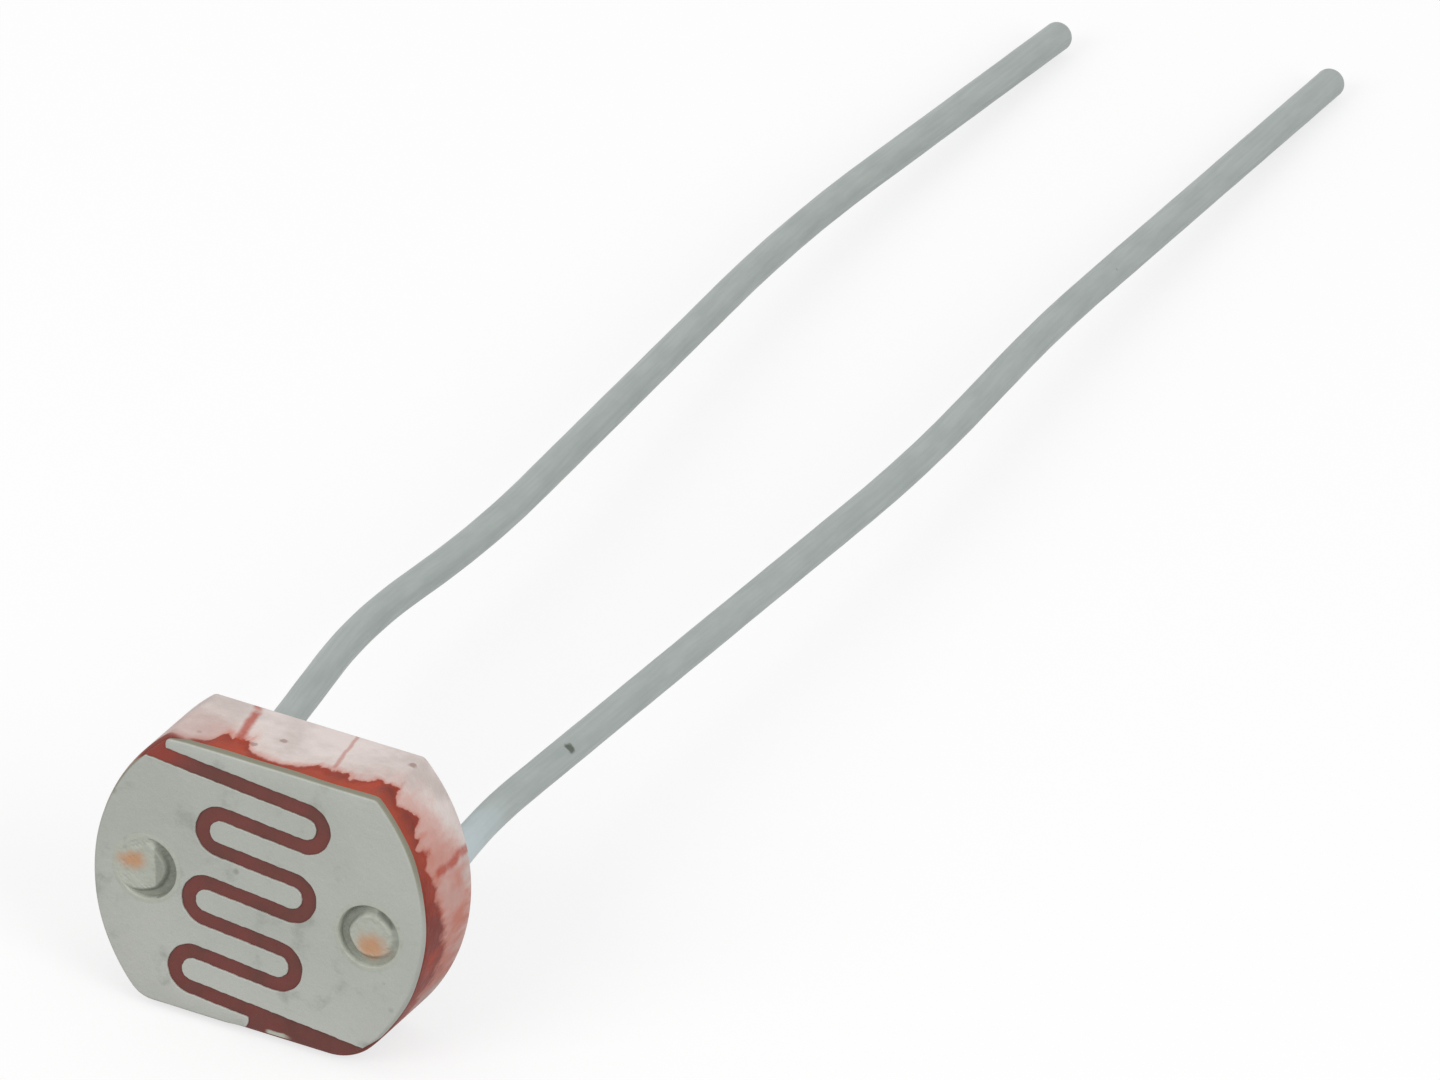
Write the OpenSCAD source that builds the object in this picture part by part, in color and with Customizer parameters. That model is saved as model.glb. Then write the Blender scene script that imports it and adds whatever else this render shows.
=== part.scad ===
// Photoresistor: a ceramic disc with a light-sensitive film, two comb electrodes and two wire leads.
// Every piece is drawn in the cell's own frame, in millimetres: X runs along the flats, Y up across
// them and Z out of the face, with the origin in the middle of the ceramic's face. lay() then rests
// the cell on the lower edge of its back and on the tip of its longer lead, with the face to -Y.

/* [Ceramic disc] */
// Width of the disc over its two round sides
disc_d = 5.05; // [4.9:0.05:6]
// Distance of the middle of each round side's arc past the middle of the disc
arc_shift = 0.2; // [0.05:0.05:0.3]
// Width across the two flats
flats_w = 4.1; // [4:0.05:4.6]
// Thickness of the ceramic
disc_t = 1.5; // [1:0.05:2.5]
// Radius of the disc's edges
edge_r = 0.05; // [0.03:0.01:0.1]

/* [Lead holes] */
// Distance between the two leads
lead_pitch = 3.4; // [3.2:0.05:3.5]
// Height of the lead row above the middle of the disc
lead_row_y = -0.05; // [-0.15:0.05:0.15]
// Width of the cup round each lead in the face
cup_d = 0.95; // [0.85:0.05:1.05]
// Depth of the cup
cup_depth = 0.25; // [0.2:0.05:0.5]
// Play round the wire in its hole
hole_play = 0.05; // [0.02:0.01:0.1]

/* [Films] */
// Thickness of the light-sensitive film
film_t = 0.04; // [0.02:0.01:0.08]
// Thickness of the metal electrodes
metal_t = 0.03; // [0.02:0.01:0.06]
// Bare film left between the electrodes and the rim of the face
rim_gap = 0.01; // [0.01:0.01:0.08]

/* [Track between the electrodes] */
// Number of runs. With an even number, both ends of the track leave the face on the left
track_runs = 7; // [5:1:7]
// Distance between neighbouring runs
track_pitch = 0.55; // [0.45:0.01:0.58]
// Width of the track
track_w = 0.22; // [0.15:0.01:0.3]
// Length of a run between the centres of its turns
run_l = 1.2; // [0.9:0.05:1.3]
// Turn of the pattern against the flats, in degrees
mask_turn = -5; // [-7:0.5:7]
// Shift of the pattern along the flats
mask_dx = -0.13; // [-0.2:0.01:0.2]
// Shift of the pattern across the flats
mask_dy = -0.05; // [-0.12:0.01:0.12]
// Reach of the strip over the first run, from the middle of the pattern
top_strip_l = 1.65; // [1.2:0.05:1.8]
// Reach of the strip under the last run, from the middle of the pattern
bottom_strip_l = 0.35; // [0.2:0.05:1]
// Radius at the end of a strip
strip_end_r = 0.15; // [0.1:0.01:0.2]

/* [Leads] */
// Diameter of the wire
wire_d = 0.45; // [0.4:0.05:0.5]
// Radius round the far end of the wire
tip_r = 0.14; // [0.05:0.01:0.18]
// Depth of the wire's front end below the electrodes
end_depth = 0.02; // [0:0.01:0.05]

/* [Left lead, from the back of the disc] */
// Length along the wire
left_lead_l = 31; // [27:0.5:36]
// Straight stretch before each of its four bends, the first one from the resin
left_runs = [0.1, 3.9, 0.6, 7.5]; // [0.1:0.1:12]
// Turn of each bend towards the right, in degrees
left_turns = [-7.4, 11.4, -6.4, 5.8]; // [-12:0.1:12]
// Radius of each bend at the middle of the wire
left_radii = [8, 14, 30, 50]; // [5:1:50]

/* [Right lead, from the back of the disc] */
// Length along the wire
right_lead_l = 32; // [28:0.5:36]
// Straight stretch before each of its four bends, the first one from the resin
right_runs = [0.1, 0.1, 10.7, 1.8]; // [0.1:0.1:12]
// Turn of each bend towards the right, in degrees
right_turns = [-6.2, 8, -4.6, 3.5]; // [-12:0.1:12]
// Radius of each bend at the middle of the wire
right_radii = [8, 15, 50, 50]; // [5:1:50]

/* [Contact paste] */
// Width of the paste's lip on the electrode
lip_w = 0.05; // [0.03:0.01:0.08]
// Height of the lip
lip_h = 0.02; // [0.01:0.01:0.04]
// Width of paste inside the cup's edge that stays level with the lip
level_w = 0.037; // [0.025:0.002:0.045]
// Depth of the dish between there and the wire
dish_depth = 0.075; // [0.04:0.005:0.09]
// Wall of paste outside the crescent pocket
pocket_wall = 0.045; // [0.03:0.005:0.06]
// Depth of the crescent pocket below the electrode
pocket_depth = 0.2; // [0.12:0.01:0.24]
// Paste left standing round the wire inside the crescent
mound_w = 0.135; // [0.12:0.005:0.15]
// Shift of that paste away from the middle of the disc
mound_shift = 0.1; // [0.06:0.01:0.11]

/* [Resin] */
// Thickness of the resin over the back
resin_t = 0.1; // [0.05:0.01:0.3]
// Distance of the resin's edge from the rim
resin_inset = 0.13; // [0.12:0.01:0.25]
// Height that the resin climbs each wire
climb_h = 0.42; // [0.3:0.02:0.6]
// Thickness of the resin at the top of its climb
climb_rim = 0.01; // [0.005:0.005:0.03]
// Depth below the resin's surface that the hollow of the climb would reach if it went on
climb_dip = 0.03; // [0.01:0.01:0.04]

/* [Bonds] */
// Bond line between round faces that are stuck together
bond_gap = 0.01; // [0.005:0.005:0.02]

/* [Hidden] */
$fn = 96;
disc_r = disc_d / 2;
side_r = disc_r + arc_shift;
wire_r = wire_d / 2;
hole_r = wire_r + hole_play;
cup_r = cup_d / 2;
metal_top = film_t + metal_t;
wire_front = metal_top - end_depth;
runs = round(track_runs);
first_run_y = (runs - 1) / 2 * track_pitch;
// Side on which the last run leaves the face: 1 is the right, -1 the left
last_side = runs % 2 == 1 ? 1 : -1;
turn_out_r = (track_pitch + track_w) / 2;
turn_in_r = (track_pitch - track_w) / 2;
// Longer than any line across the face
reach = 2 * disc_d;
// Overrun of a cut past the face that it opens
over = disc_t;
// Wire that the resin holds straight behind the disc
held_l = resin_t + climb_h;

function sum(v, i = 0) = i < len(v) ? v[i] + sum(v, i + 1) : 0;
function arc_l(turn, radius) = radius * abs(turn) * PI / 180;
// A lead as steps of [straight length, turn, radius], the last one straight to its tip. It starts
// before the resin by start_l, and lead_l less the part that the resin holds is left behind it
function route(runs, turns, radii, lead_l, start_l) =
    let (
        bends = [0:len(runs) - 1],
        used = sum([for (i = bends) runs[i] + arc_l(turns[i], radii[i])])
    )
    [
        for (i = bends) [runs[i] + (i == 0 ? start_l : 0), turns[i], radii[i]],
        [lead_l - held_l - used, 0, 0]
    ];
function left_route(start_l) = route(left_runs, left_turns, left_radii, left_lead_l, start_l);
function right_route(start_l) = route(right_runs, right_turns, right_radii, right_lead_l, start_l);
// Place and heading, as [x, depth, angle], after one step from p
function after(p, step) =
    let (bow = sign(step[1]) * step[2], on = p[2] + step[1])
    [
        p[0] + step[0] * sin(p[2]) + bow * (cos(p[2]) - cos(on)),
        p[1] + step[0] * cos(p[2]) + bow * (sin(on) - sin(p[2])),
        on
    ];
function walk(steps, i = 0, p = [0, 0, 0]) =
    i < len(steps) ? walk(steps, i + 1, after(p, steps[i])) : p;
left_tip = walk(left_route(held_l));
right_tip = walk(right_route(held_l));

// Angle at which the disc's lower back edge and a lead's tip touch the same level surface
function lean_of(tip) =
    let (
        drop = lead_row_y - wire_r + tip_r + flats_w / 2 - edge_r,
        run = tip[1] - tip_r + edge_r
    )
    atan2(drop, run) + asin((edge_r - tip_r) / norm([drop, run]));
lean = min(lean_of(left_tip), lean_of(right_tip));
rest_z = (flats_w / 2 - edge_r) * cos(lean) + (disc_t - edge_r) * sin(lean) + edge_r;
front_y = -(flats_w / 2 - edge_r) * sin(lean) - metal_top * cos(lean);
back_y = lead_row_y * sin(lean) + (disc_t + max(left_tip[1], right_tip[1])) * cos(lean);

// Rests what is drawn in the cell's frame on Z = 0, with the middle of its length at Y = 0
module lay() {
    translate([0, -(front_y + back_y) / 2, rest_z]) rotate([90 - lean, 0, 0]) children();
}

// Places what belongs to one lead, on the left for -1 and on the right for 1
module at_lead(side) {
    translate([side * lead_pitch / 2, lead_row_y, 0]) children();
}

module at_both_leads() {
    for (side = [-1, 1]) at_lead(side) children();
}

// Outline of the disc with its flats, drawn in from the rim
module disc_2d(inset) {
    intersection() {
        translate([-arc_shift, 0]) circle(side_r - inset);
        translate([arc_shift, 0]) circle(side_r - inset);
        square([disc_d, flats_w - 2 * inset], center = true);
    }
}

// A plate's section from its middle out to half its width, with rounded outer corners
module rounded_half_2d(half) {
    translate([0, -disc_t]) square([half - edge_r, disc_t]);
    translate([0, edge_r - disc_t]) square([half, disc_t - 2 * edge_r]);
    for (y = [-edge_r, edge_r - disc_t]) translate([half - edge_r, y]) circle(edge_r);
}

// A round plate with rounded edges, whose arc makes one of the disc's round sides
module round_plate() {
    rotate_extrude() intersection() {
        rounded_half_2d(side_r);
        translate([0, -disc_t]) square([disc_d, disc_t]);
    }
}

module ceramic_blank() {
    intersection() {
        translate([-arc_shift, 0, 0]) round_plate();
        translate([arc_shift, 0, 0]) round_plate();
        rotate([90, 0, 90]) linear_extrude(2 * disc_d, center = true) {
            rounded_half_2d(flats_w / 2);
            mirror([1, 0]) rounded_half_2d(flats_w / 2);
        }
    }
}

module ceramic_base() {
    color("#E4D8D4") lay() difference() {
        ceramic_blank();
        at_both_leads() {
            translate([0, 0, -disc_t - over]) cylinder(r = hole_r, h = disc_t + 2 * over);
            translate([0, 0, -cup_depth]) cylinder(r = cup_r, h = cup_depth + over);
        }
    }
}

module cds_film() {
    color("#6E4240") lay() linear_extrude(film_t) difference() {
        disc_2d(edge_r);
        at_both_leads() circle(cup_r);
    }
}

// Carries the pattern's own frame onto the face
module mask() {
    translate([mask_dx, mask_dy]) rotate(mask_turn) children();
}

function run_y(i) = first_run_y - i * track_pitch;

// Half a ring that joins two runs, on the right for 1 and on the left for -1
module turn_2d(side) {
    difference() {
        circle(turn_out_r);
        circle(turn_in_r);
        translate([side > 0 ? -reach : 0, -reach / 2]) square([reach, reach]);
    }
}

// The bare track: parallel runs joined by turns, open to the rim at both ends
module track_2d() {
    for (i = [0:runs - 1]) {
        last = i == runs - 1;
        x0 = i == 0 || (last && last_side < 0) ? -reach : -run_l / 2;
        x1 = last && last_side > 0 ? reach : run_l / 2;
        translate([x0, run_y(i) - track_w / 2]) square([x1 - x0, track_w]);
    }
    for (i = [0:runs - 2]) {
        side = i % 2 == 0 ? 1 : -1;
        translate([side * run_l / 2, run_y(i) - track_pitch / 2]) turn_2d(side);
    }
}

// The face on the left of the track's middle line, with a finger inside each right turn
module left_region_2d() {
    difference() {
        translate([-reach, -first_run_y]) square([reach - run_l / 2, 2 * first_run_y]);
        for (i = [1:2:runs - 2])
            translate([-run_l / 2, run_y(i) - track_pitch / 2]) circle(track_pitch / 2);
    }
    for (i = [0:2:runs - 2]) translate([0, run_y(i) - track_pitch / 2]) {
        translate([-run_l, -track_pitch / 2]) square([1.5 * run_l, track_pitch]);
        translate([run_l / 2, 0]) circle(track_pitch / 2);
    }
    if (last_side > 0) translate([-reach, -first_run_y - reach]) square([2 * reach, reach]);
}

// The face above a run and to the left of the round end of the metal strip along it
module bare_end_2d(strip_l) {
    difference() {
        translate([-reach, 0]) square([reach - strip_l + strip_end_r, reach]);
        translate([strip_end_r - strip_l, (track_w + strip_end_r) / 2]) circle(strip_end_r);
    }
}

// Cuts the comb that it is given: the track, the bare ends of the two strips and the cups come out of it
module comb() {
    color("#ACB1AA") lay() translate([0, 0, film_t]) linear_extrude(metal_t) difference() {
        children();
        mask() {
            track_2d();
            translate([0, first_run_y]) bare_end_2d(top_strip_l);
            translate([0, -first_run_y]) mirror([0, 1]) mirror([last_side > 0 ? 1 : 0, 0])
                bare_end_2d(bottom_strip_l);
        }
        at_both_leads() circle(cup_r);
    }
}

module electrode_left() {
    comb() intersection() {
        disc_2d(edge_r + rim_gap);
        mask() left_region_2d();
    }
}

module electrode_right() {
    comb() difference() {
        disc_2d(edge_r + rim_gap);
        mask() left_region_2d();
    }
}

// Section of the paste from the wire out to its lip on the electrode, with a hollow top
module paste_2d() {
    top = metal_top + lip_h;
    half_dish = (cup_r - level_w - wire_r) / 2;
    dish_r = (half_dish * half_dish + dish_depth * dish_depth) / (2 * dish_depth);
    difference() {
        union() {
            translate([wire_r + bond_gap, -cup_depth])
                square([cup_r - wire_r - 2 * bond_gap, cup_depth + top]);
            translate([cup_r - 2 * bond_gap, metal_top]) square([lip_w + 2 * bond_gap, lip_h]);
        }
        translate([wire_r + half_dish, top - dish_depth + dish_r]) circle(dish_r);
    }
}

// Paste that fills a cup, dished round the wire and open in a crescent towards the middle of the disc
module contact(side) {
    color("#8E938A") lay() at_lead(side) difference() {
        rotate_extrude() paste_2d();
        translate([0, 0, metal_top - pocket_depth]) linear_extrude(pocket_depth + over) difference() {
            circle(cup_r - bond_gap - pocket_wall);
            translate([side * mound_shift, 0]) circle(wire_r + mound_w);
        }
    }
}

module contact_left() {
    contact(-1);
}

module contact_right() {
    contact(1);
}

// Arc of wire that starts along +Z and turns towards +X by a positive angle
module bend(turn, radius) {
    if (turn != 0) mirror([turn < 0 ? 1 : 0, 0, 0]) translate([radius, 0, 0]) rotate([-90, 0, 0])
        rotate_extrude(angle = abs(turn), start = 180) translate([radius, 0]) circle(wire_r);
}

// Straight end of the wire with its rim rounded in steps
module tail(length) {
    rim = [for (a = [0:15:90]) [wire_r - tip_r * (1 - cos(a)), length - tip_r * (1 - sin(a))]];
    rotate_extrude() polygon(concat([[0, 0], [wire_r, 0]], rim, [[0, length]]));
}

function hundredths(v) = [for (x = v) round(x * 100) / 100];

// Moves by whole hundredths and then by the rest, so that the ends of two stretches meet exactly
module fine_move(v) {
    translate(hundredths(v)) translate(v - hundredths(v)) children();
}

// Wire along +Z through the steps of a route, each drawn in the frame that the last one ends in
module wire(steps, i = 0) {
    if (i == len(steps) - 1) {
        tail(steps[i][0]);
    } else {
        end = after([0, 0, 0], steps[i]);
        cylinder(r = wire_r, h = steps[i][0]);
        translate([0, 0, steps[i][0]]) bend(steps[i][1], steps[i][2]);
        fine_move([end[0], 0, end[1]]) rotate([0, end[2], 0]) wire(steps, i + 1);
    }
}

// A lead from its front end in the cup, through the disc and along its bends
module lead(side, steps) {
    color("#A5ACAA") lay() at_lead(side) translate([0, 0, wire_front]) rotate([180, 0, 0]) wire(steps);
}

module lead_left() {
    lead(-1, left_route(wire_front + disc_t + held_l));
}

module lead_right() {
    lead(1, right_route(wire_front + disc_t + held_l));
}

// Section of the resin that climbs a wire, measured back from the disc. It ends where its hollow has
// gone half of the dip below the resin's surface, well inside the resin's edge
module climb_2d() {
    hollow_r = climb_h + climb_dip;
    hollow_x = climb_rim + hollow_r;
    foot_w = hollow_x - sqrt(pow(hollow_r, 2) - pow(climb_h + climb_dip / 2, 2));
    translate([wire_r + bond_gap, 0]) difference() {
        square([foot_w, held_l]);
        translate([hollow_x, held_l]) circle(hollow_r);
    }
}

// Clear resin over the back, drawn up round each wire
module resin_seal() {
    color("#CFD6D2", 0.5) lay() translate([0, 0, -disc_t]) rotate([180, 0, 0]) {
        difference() {
            linear_extrude(resin_t) disc_2d(resin_inset);
            mirror([0, 1, 0]) at_both_leads() translate([0, 0, -over])
                cylinder(r = wire_r + bond_gap, h = resin_t + 2 * over);
        }
        mirror([0, 1, 0]) at_both_leads() rotate_extrude() climb_2d();
    }
}

ceramic_base();
cds_film();
electrode_left();
electrode_right();
contact_left();
contact_right();
lead_left();
lead_right();
resin_seal();
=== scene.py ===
"""Photoresistor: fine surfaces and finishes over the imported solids.

Every shape is worked out in the cell's own frame, in millimetres: X runs along the flats, Y up
across them and Z out of the face, from the middle of the ceramic's front. Stance carries a shape
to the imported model's frame, in metres.
"""

import logging
import math
from collections.abc import Iterable, Sequence
from dataclasses import dataclass
from enum import Enum
from functools import partial, reduce

import bmesh
import bpy
import numpy as np
from mathutils import Matrix, Vector
from mathutils.geometry import delaunay_2d_cdt


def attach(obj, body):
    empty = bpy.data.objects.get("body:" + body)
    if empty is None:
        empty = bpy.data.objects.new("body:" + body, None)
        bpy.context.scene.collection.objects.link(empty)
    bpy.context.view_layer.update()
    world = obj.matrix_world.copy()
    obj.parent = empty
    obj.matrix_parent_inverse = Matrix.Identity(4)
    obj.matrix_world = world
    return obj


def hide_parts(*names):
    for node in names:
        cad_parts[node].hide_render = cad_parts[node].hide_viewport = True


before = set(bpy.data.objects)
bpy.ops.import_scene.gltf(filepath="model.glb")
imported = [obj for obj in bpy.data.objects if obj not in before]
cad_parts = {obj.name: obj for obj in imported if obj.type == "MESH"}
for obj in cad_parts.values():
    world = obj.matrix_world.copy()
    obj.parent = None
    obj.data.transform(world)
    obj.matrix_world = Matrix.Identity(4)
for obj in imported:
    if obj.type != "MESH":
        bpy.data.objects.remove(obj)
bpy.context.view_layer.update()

LOG = logging.getLogger("photoresistor")
MM = 0.001
WIRE_UV = "wire_mm"
WHITE = (1.0, 1.0, 1.0, 1.0)
# Distance in mm below which points count as one
NEAR = 1e-7
# Doubled area in mm2 up to which a triangle counts as empty
EMPTY = 1e-7

Array = np.ndarray
Number = float | Array
Point = tuple[float, float, float]
Colour = tuple[float, float, float, float]
Material = bpy.types.Material
Piece = bpy.types.Object
Node = bpy.types.Node
Tree = bpy.types.NodeTree
Socket = bpy.types.NodeSocket
Value = Socket | float
Tint = Socket | Colour


class Side(Enum):
    """The two leads as they are seen from the face."""

    LEFT = -1
    RIGHT = 1

    @property
    def label(self) -> str:
        """The side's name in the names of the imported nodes."""
        return self.name.lower()


class Slot(Enum):
    """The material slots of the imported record."""

    CERAMIC = "ceramic"
    FILM = "light_sensitive_film"
    METAL = "metal_film"
    PASTE = "contact_paste"
    WIRE = "tinned_wire"
    RESIN = "clear_resin"


# Helpers on arrays


def srgb(red: float, green: float, blue: float) -> Colour:
    """Turns an sRGB colour, 0 to 255, into a linear one.

    Args:
        red: Red part.
        green: Green part.
        blue: Blue part.

    Returns:
        The linear colour, with full alpha.
    """
    parts = np.array([red, green, blue]) / 255
    linear = np.where(parts <= 0.04045, parts / 12.92, ((parts + 0.055) / 1.055) ** 2.4)
    return (*linear.tolist(), 1.0)


def ray(angle: Array) -> Array:
    """Unit vectors at angles from X."""
    return np.stack([np.cos(angle), np.sin(angle)], -1)


def running(steps: Array) -> Array:
    """Running sum of steps, from zero."""
    return np.concatenate([[0], np.cumsum(steps)])


def lengths_along(line: Array) -> Array:
    """Length along a line up to each of its points."""
    return running(np.linalg.norm(np.diff(line, axis=0), axis=1))


def blend(first: Number, second: Number, share: Number) -> Number:
    """Value between two others: the first where the share is 0, the second where it is 1."""
    return first * (1 - share) + second * share


def ease(share: Array) -> Array:
    """Smooth step: three squares less two cubes of the share, kept between 0 and 1."""
    share = np.clip(share, 0, 1)
    return share**2 * (3 - 2 * share)


def quarter(count: int) -> tuple[Array, Array]:
    """One less the cosine, and one less the sine, of angles over a quarter turn, for a rounded edge."""
    angle = np.linspace(0, np.pi / 2, count)
    return 1 - np.cos(angle), 1 - np.sin(angle)


def stack(rows: Iterable[tuple[Array, Number]]) -> Array:
    """Gives flat loops their heights, as the rings of a surface.

    Args:
        rows: In each row a loop, points by 2, with one height or one for each point.

    Returns:
        Array of rings by points by 3.
    """
    return np.stack([np.column_stack([loop, np.broadcast_to(z, len(loop))]) for loop, z in rows])


def shrink(loop: Array, amount: Number) -> Array:
    """Draws a loop in: each point moves across the line between its neighbours.

    Args:
        loop: Anticlockwise loop, points by 2.
        amount: Distance inwards, below zero for outwards, one for all or one for each point.

    Returns:
        The moved loop.
    """
    tangent = np.roll(loop, -1, 0) - np.roll(loop, 1, 0)
    tangent /= np.linalg.norm(tangent, axis=1, keepdims=True)
    return loop + amount * np.stack([-tangent[:, 1], tangent[:, 0]], -1)


def even_out(loop: Array, spacing: float) -> Array:
    """Spaces the points of a loop evenly: its places are read off at equal steps of its length.

    Args:
        loop: Closed loop, points by 2.
        spacing: About the length of a step.

    Returns:
        The loop with evenly spaced points.
    """
    closed = np.concatenate([loop, loop[:1]])
    along = lengths_along(closed)
    place = np.linspace(0, along[-1], int(along[-1] / spacing), endpoint=False)
    return np.stack([np.interp(place, along, part) for part in closed.T], -1)


def ripple(along: Array, seed: int, lengths: Sequence[float]) -> Array:
    """A smooth unevenness from -1 to 1: the mean of sines of the given lengths with seeded phases.

    Args:
        along: Place along the line.
        seed: Seed of the phases.
        lengths: Length of each sine.

    Returns:
        One value for each place.
    """
    phase = np.random.default_rng(seed).uniform(0, 2 * np.pi, len(lengths))
    waves = np.sin(2 * np.pi * np.asarray(along)[..., None] / np.array(lengths) + phase)
    return waves.mean(-1)


# Sizes and frame


@dataclass(frozen=True)
class CellSizes:
    """Sizes that more than one piece uses, in millimetres."""

    disc_r: float = 2.525
    arc_shift: float = 0.2
    half_flats: float = 2.05
    disc_t: float = 1.5
    edge_r: float = 0.05
    half_pitch: float = 1.7
    lead_row_y: float = -0.05
    cup_r: float = 0.475
    cup_depth: float = 0.25
    hole_r: float = 0.275
    film_t: float = 0.04
    metal_top: float = 0.07
    wire_r: float = 0.225
    wire_front: float = 0.05
    tip_r: float = 0.14
    held_l: float = 0.52
    bond_gap: float = 0.01

    def lead_at(self, side: Side) -> Array:
        """Middle of a lead's hole in the face."""
        return np.array([side.value * self.half_pitch, self.lead_row_y])

    def bore(self, side: Side, rows: Iterable[tuple[float, float]], count: int = 96) -> Array:
        """Rings round a lead: its middle plus each row's radius times each angle's direction.

        Args:
            side: Which lead.
            rows: Radius and height of each ring.
            count: Number of points in a ring.

        Returns:
            Array of rings by points by 3.
        """
        way = ray(np.linspace(0, 2 * np.pi, count, endpoint=False))
        return stack((self.lead_at(side) + radius * way, height) for radius, height in rows)


@dataclass(frozen=True)
class Outline:
    """The disc's outline: two round sides and two flats, with rounded corners between them.

    Formula: half of the loop is the right arc, a corner arc, the upper flat and another corner arc,
    and the other half is such a line turned by half a turn. Each point is the middle of its arc plus
    the arc's radius times its outward direction, so that an inset only shortens the radius. On a
    flat, the middle moves along while the direction stays. The middle of a round side's arc lies
    arc_shift past the middle of the disc.
    """

    half_width: float
    half_flats: float
    arc_shift: float
    upper_r: float = 0.12
    lower_left_r: float = 0.5
    lower_right_r: float = 0.8
    arc_n: int = 84
    corner_n: int = 12
    flat_n: int = 30

    @property
    def side_r(self) -> float:
        """Radius of a round side."""
        return self.half_width + self.arc_shift

    def _corner(self, radius: float) -> Point:
        """Places the arc of an upper right corner.

        Args:
            radius: The corner's radius.

        Returns:
            X and Y of the arc's middle, and the angle at which the round side meets it.
        """
        mid_y = self.half_flats - radius
        across = math.sqrt((self.side_r - radius) ** 2 - mid_y**2)
        return across - self.arc_shift, mid_y, math.atan2(mid_y, across)

    def _half(self, radii: Point, inset: float) -> Array:
        """The right arc, a corner, the upper flat and the next corner, drawn in from the rim.

        Args:
            radii: Radius of the corner below the right arc, and of the flat's right and left corner.
            inset: Distance from the rim.

        Returns:
            Points by 2, anticlockwise.
        """
        below, first, second = radii
        (x1, y1, turn1), (x2, y2, turn2) = self._corner(first), self._corner(second)
        counts = [self.arc_n, self.corner_n, self.flat_n, self.corner_n]
        stops = [-self._corner(below)[2], turn1, np.pi / 2, np.pi / 2, np.pi - turn2]
        spans = zip(stops, stops[1:], counts)
        angle = np.concatenate([np.linspace(a, b, n, endpoint=False) for a, b, n in spans])
        radius = np.repeat([self.side_r, first, first, second], counts)
        middle_x = np.repeat([-self.arc_shift, x1, 0.0, -x2], counts)
        on_flat = slice(counts[0] + counts[1], sum(counts[:3]))
        middle_x[on_flat] = np.linspace(x1, -x2, self.flat_n, endpoint=False)
        middle = np.stack([middle_x, np.repeat([0.0, y1, y1, y2], counts)], -1)
        return middle + (radius - inset)[:, None] * ray(angle)

    def loop(self, inset: float) -> Array:
        """The loop drawn in from the rim.

        Args:
            inset: Distance from the rim, less than every corner's radius.

        Returns:
            The loop, anticlockwise, as an array of points by 2, always with the same number of them.
        """
        upper = self._half((self.lower_right_r, self.upper_r, self.upper_r), inset)
        lower = self._half((self.upper_r, self.lower_left_r, self.lower_right_r), inset)
        return np.concatenate([upper, -lower])

    def beyond(self, points: Array, inset: float) -> Array:
        """How far points lie outside the inset outline, below zero inside it.

        It is the greater of the distances past a round side and past a flat. Beside a corner's arc it
        is the distance from the arc's middle less its radius.

        Args:
            points: Array of points by 2.
            inset: Distance from the rim.

        Returns:
            One value for each point.
        """
        x, y = points.T
        past_side = np.hypot(np.abs(x) + self.arc_shift, y) - self.side_r
        past = np.maximum(past_side, np.abs(y) - self.half_flats)
        corners = (
            (1, 1, self.upper_r),
            (-1, 1, self.upper_r),
            (-1, -1, self.lower_left_r),
            (1, -1, self.lower_right_r),
        )
        for sign_x, sign_y, radius in corners:
            mid_x, mid_y, turn = self._corner(radius)
            off_x, off_y = sign_x * x - mid_x, sign_y * y - mid_y
            beside = (off_x >= 0) & (off_y * math.cos(turn) >= off_x * math.sin(turn))
            past = np.where(beside, np.hypot(off_x, off_y) - radius, past)
        return past + inset


@dataclass(frozen=True)
class WireRoute:
    """The middle line of a lead: straight stretches and gentle bends in the plane of both leads.

    Formula: inside a bend the curvature is one over its radius, to the side of its turn, and elsewhere
    zero. The heading is the running sum of the curvature, and the place is the running sum of the
    heading's sine, which moves along X, and of its cosine, which moves back from the face.
    """

    length: float
    runs: tuple[float, ...]
    turns: tuple[float, ...]
    radii: tuple[float, ...]

    def trace(self, start: float, held: float, step: float = 0.01) -> tuple[Array, Array, Array, Array]:
        """Walks the line in small steps.

        Args:
            start: Straight length in front of the disc's back.
            held: Straight length that the resin holds behind it.
            step: Length of a step.

        Returns:
            Length along the wire, X, depth and heading in radians, each an array.
        """
        turns = np.radians(self.turns)
        arcs = np.abs(turns) * np.array(self.radii)
        ends = np.cumsum(np.array(self.runs) + arcs) + start + held
        along = np.linspace(0, start + self.length, int((start + self.length) / step) + 1)
        share = np.clip((along[:, None] - (ends - arcs)) / arcs, 0, 1)
        heading = (share * turns).sum(1)
        gap = np.diff(along)
        middle = (heading[1:] + heading[:-1]) / 2
        return along, running(np.sin(middle) * gap), running(np.cos(middle) * gap), heading


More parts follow.
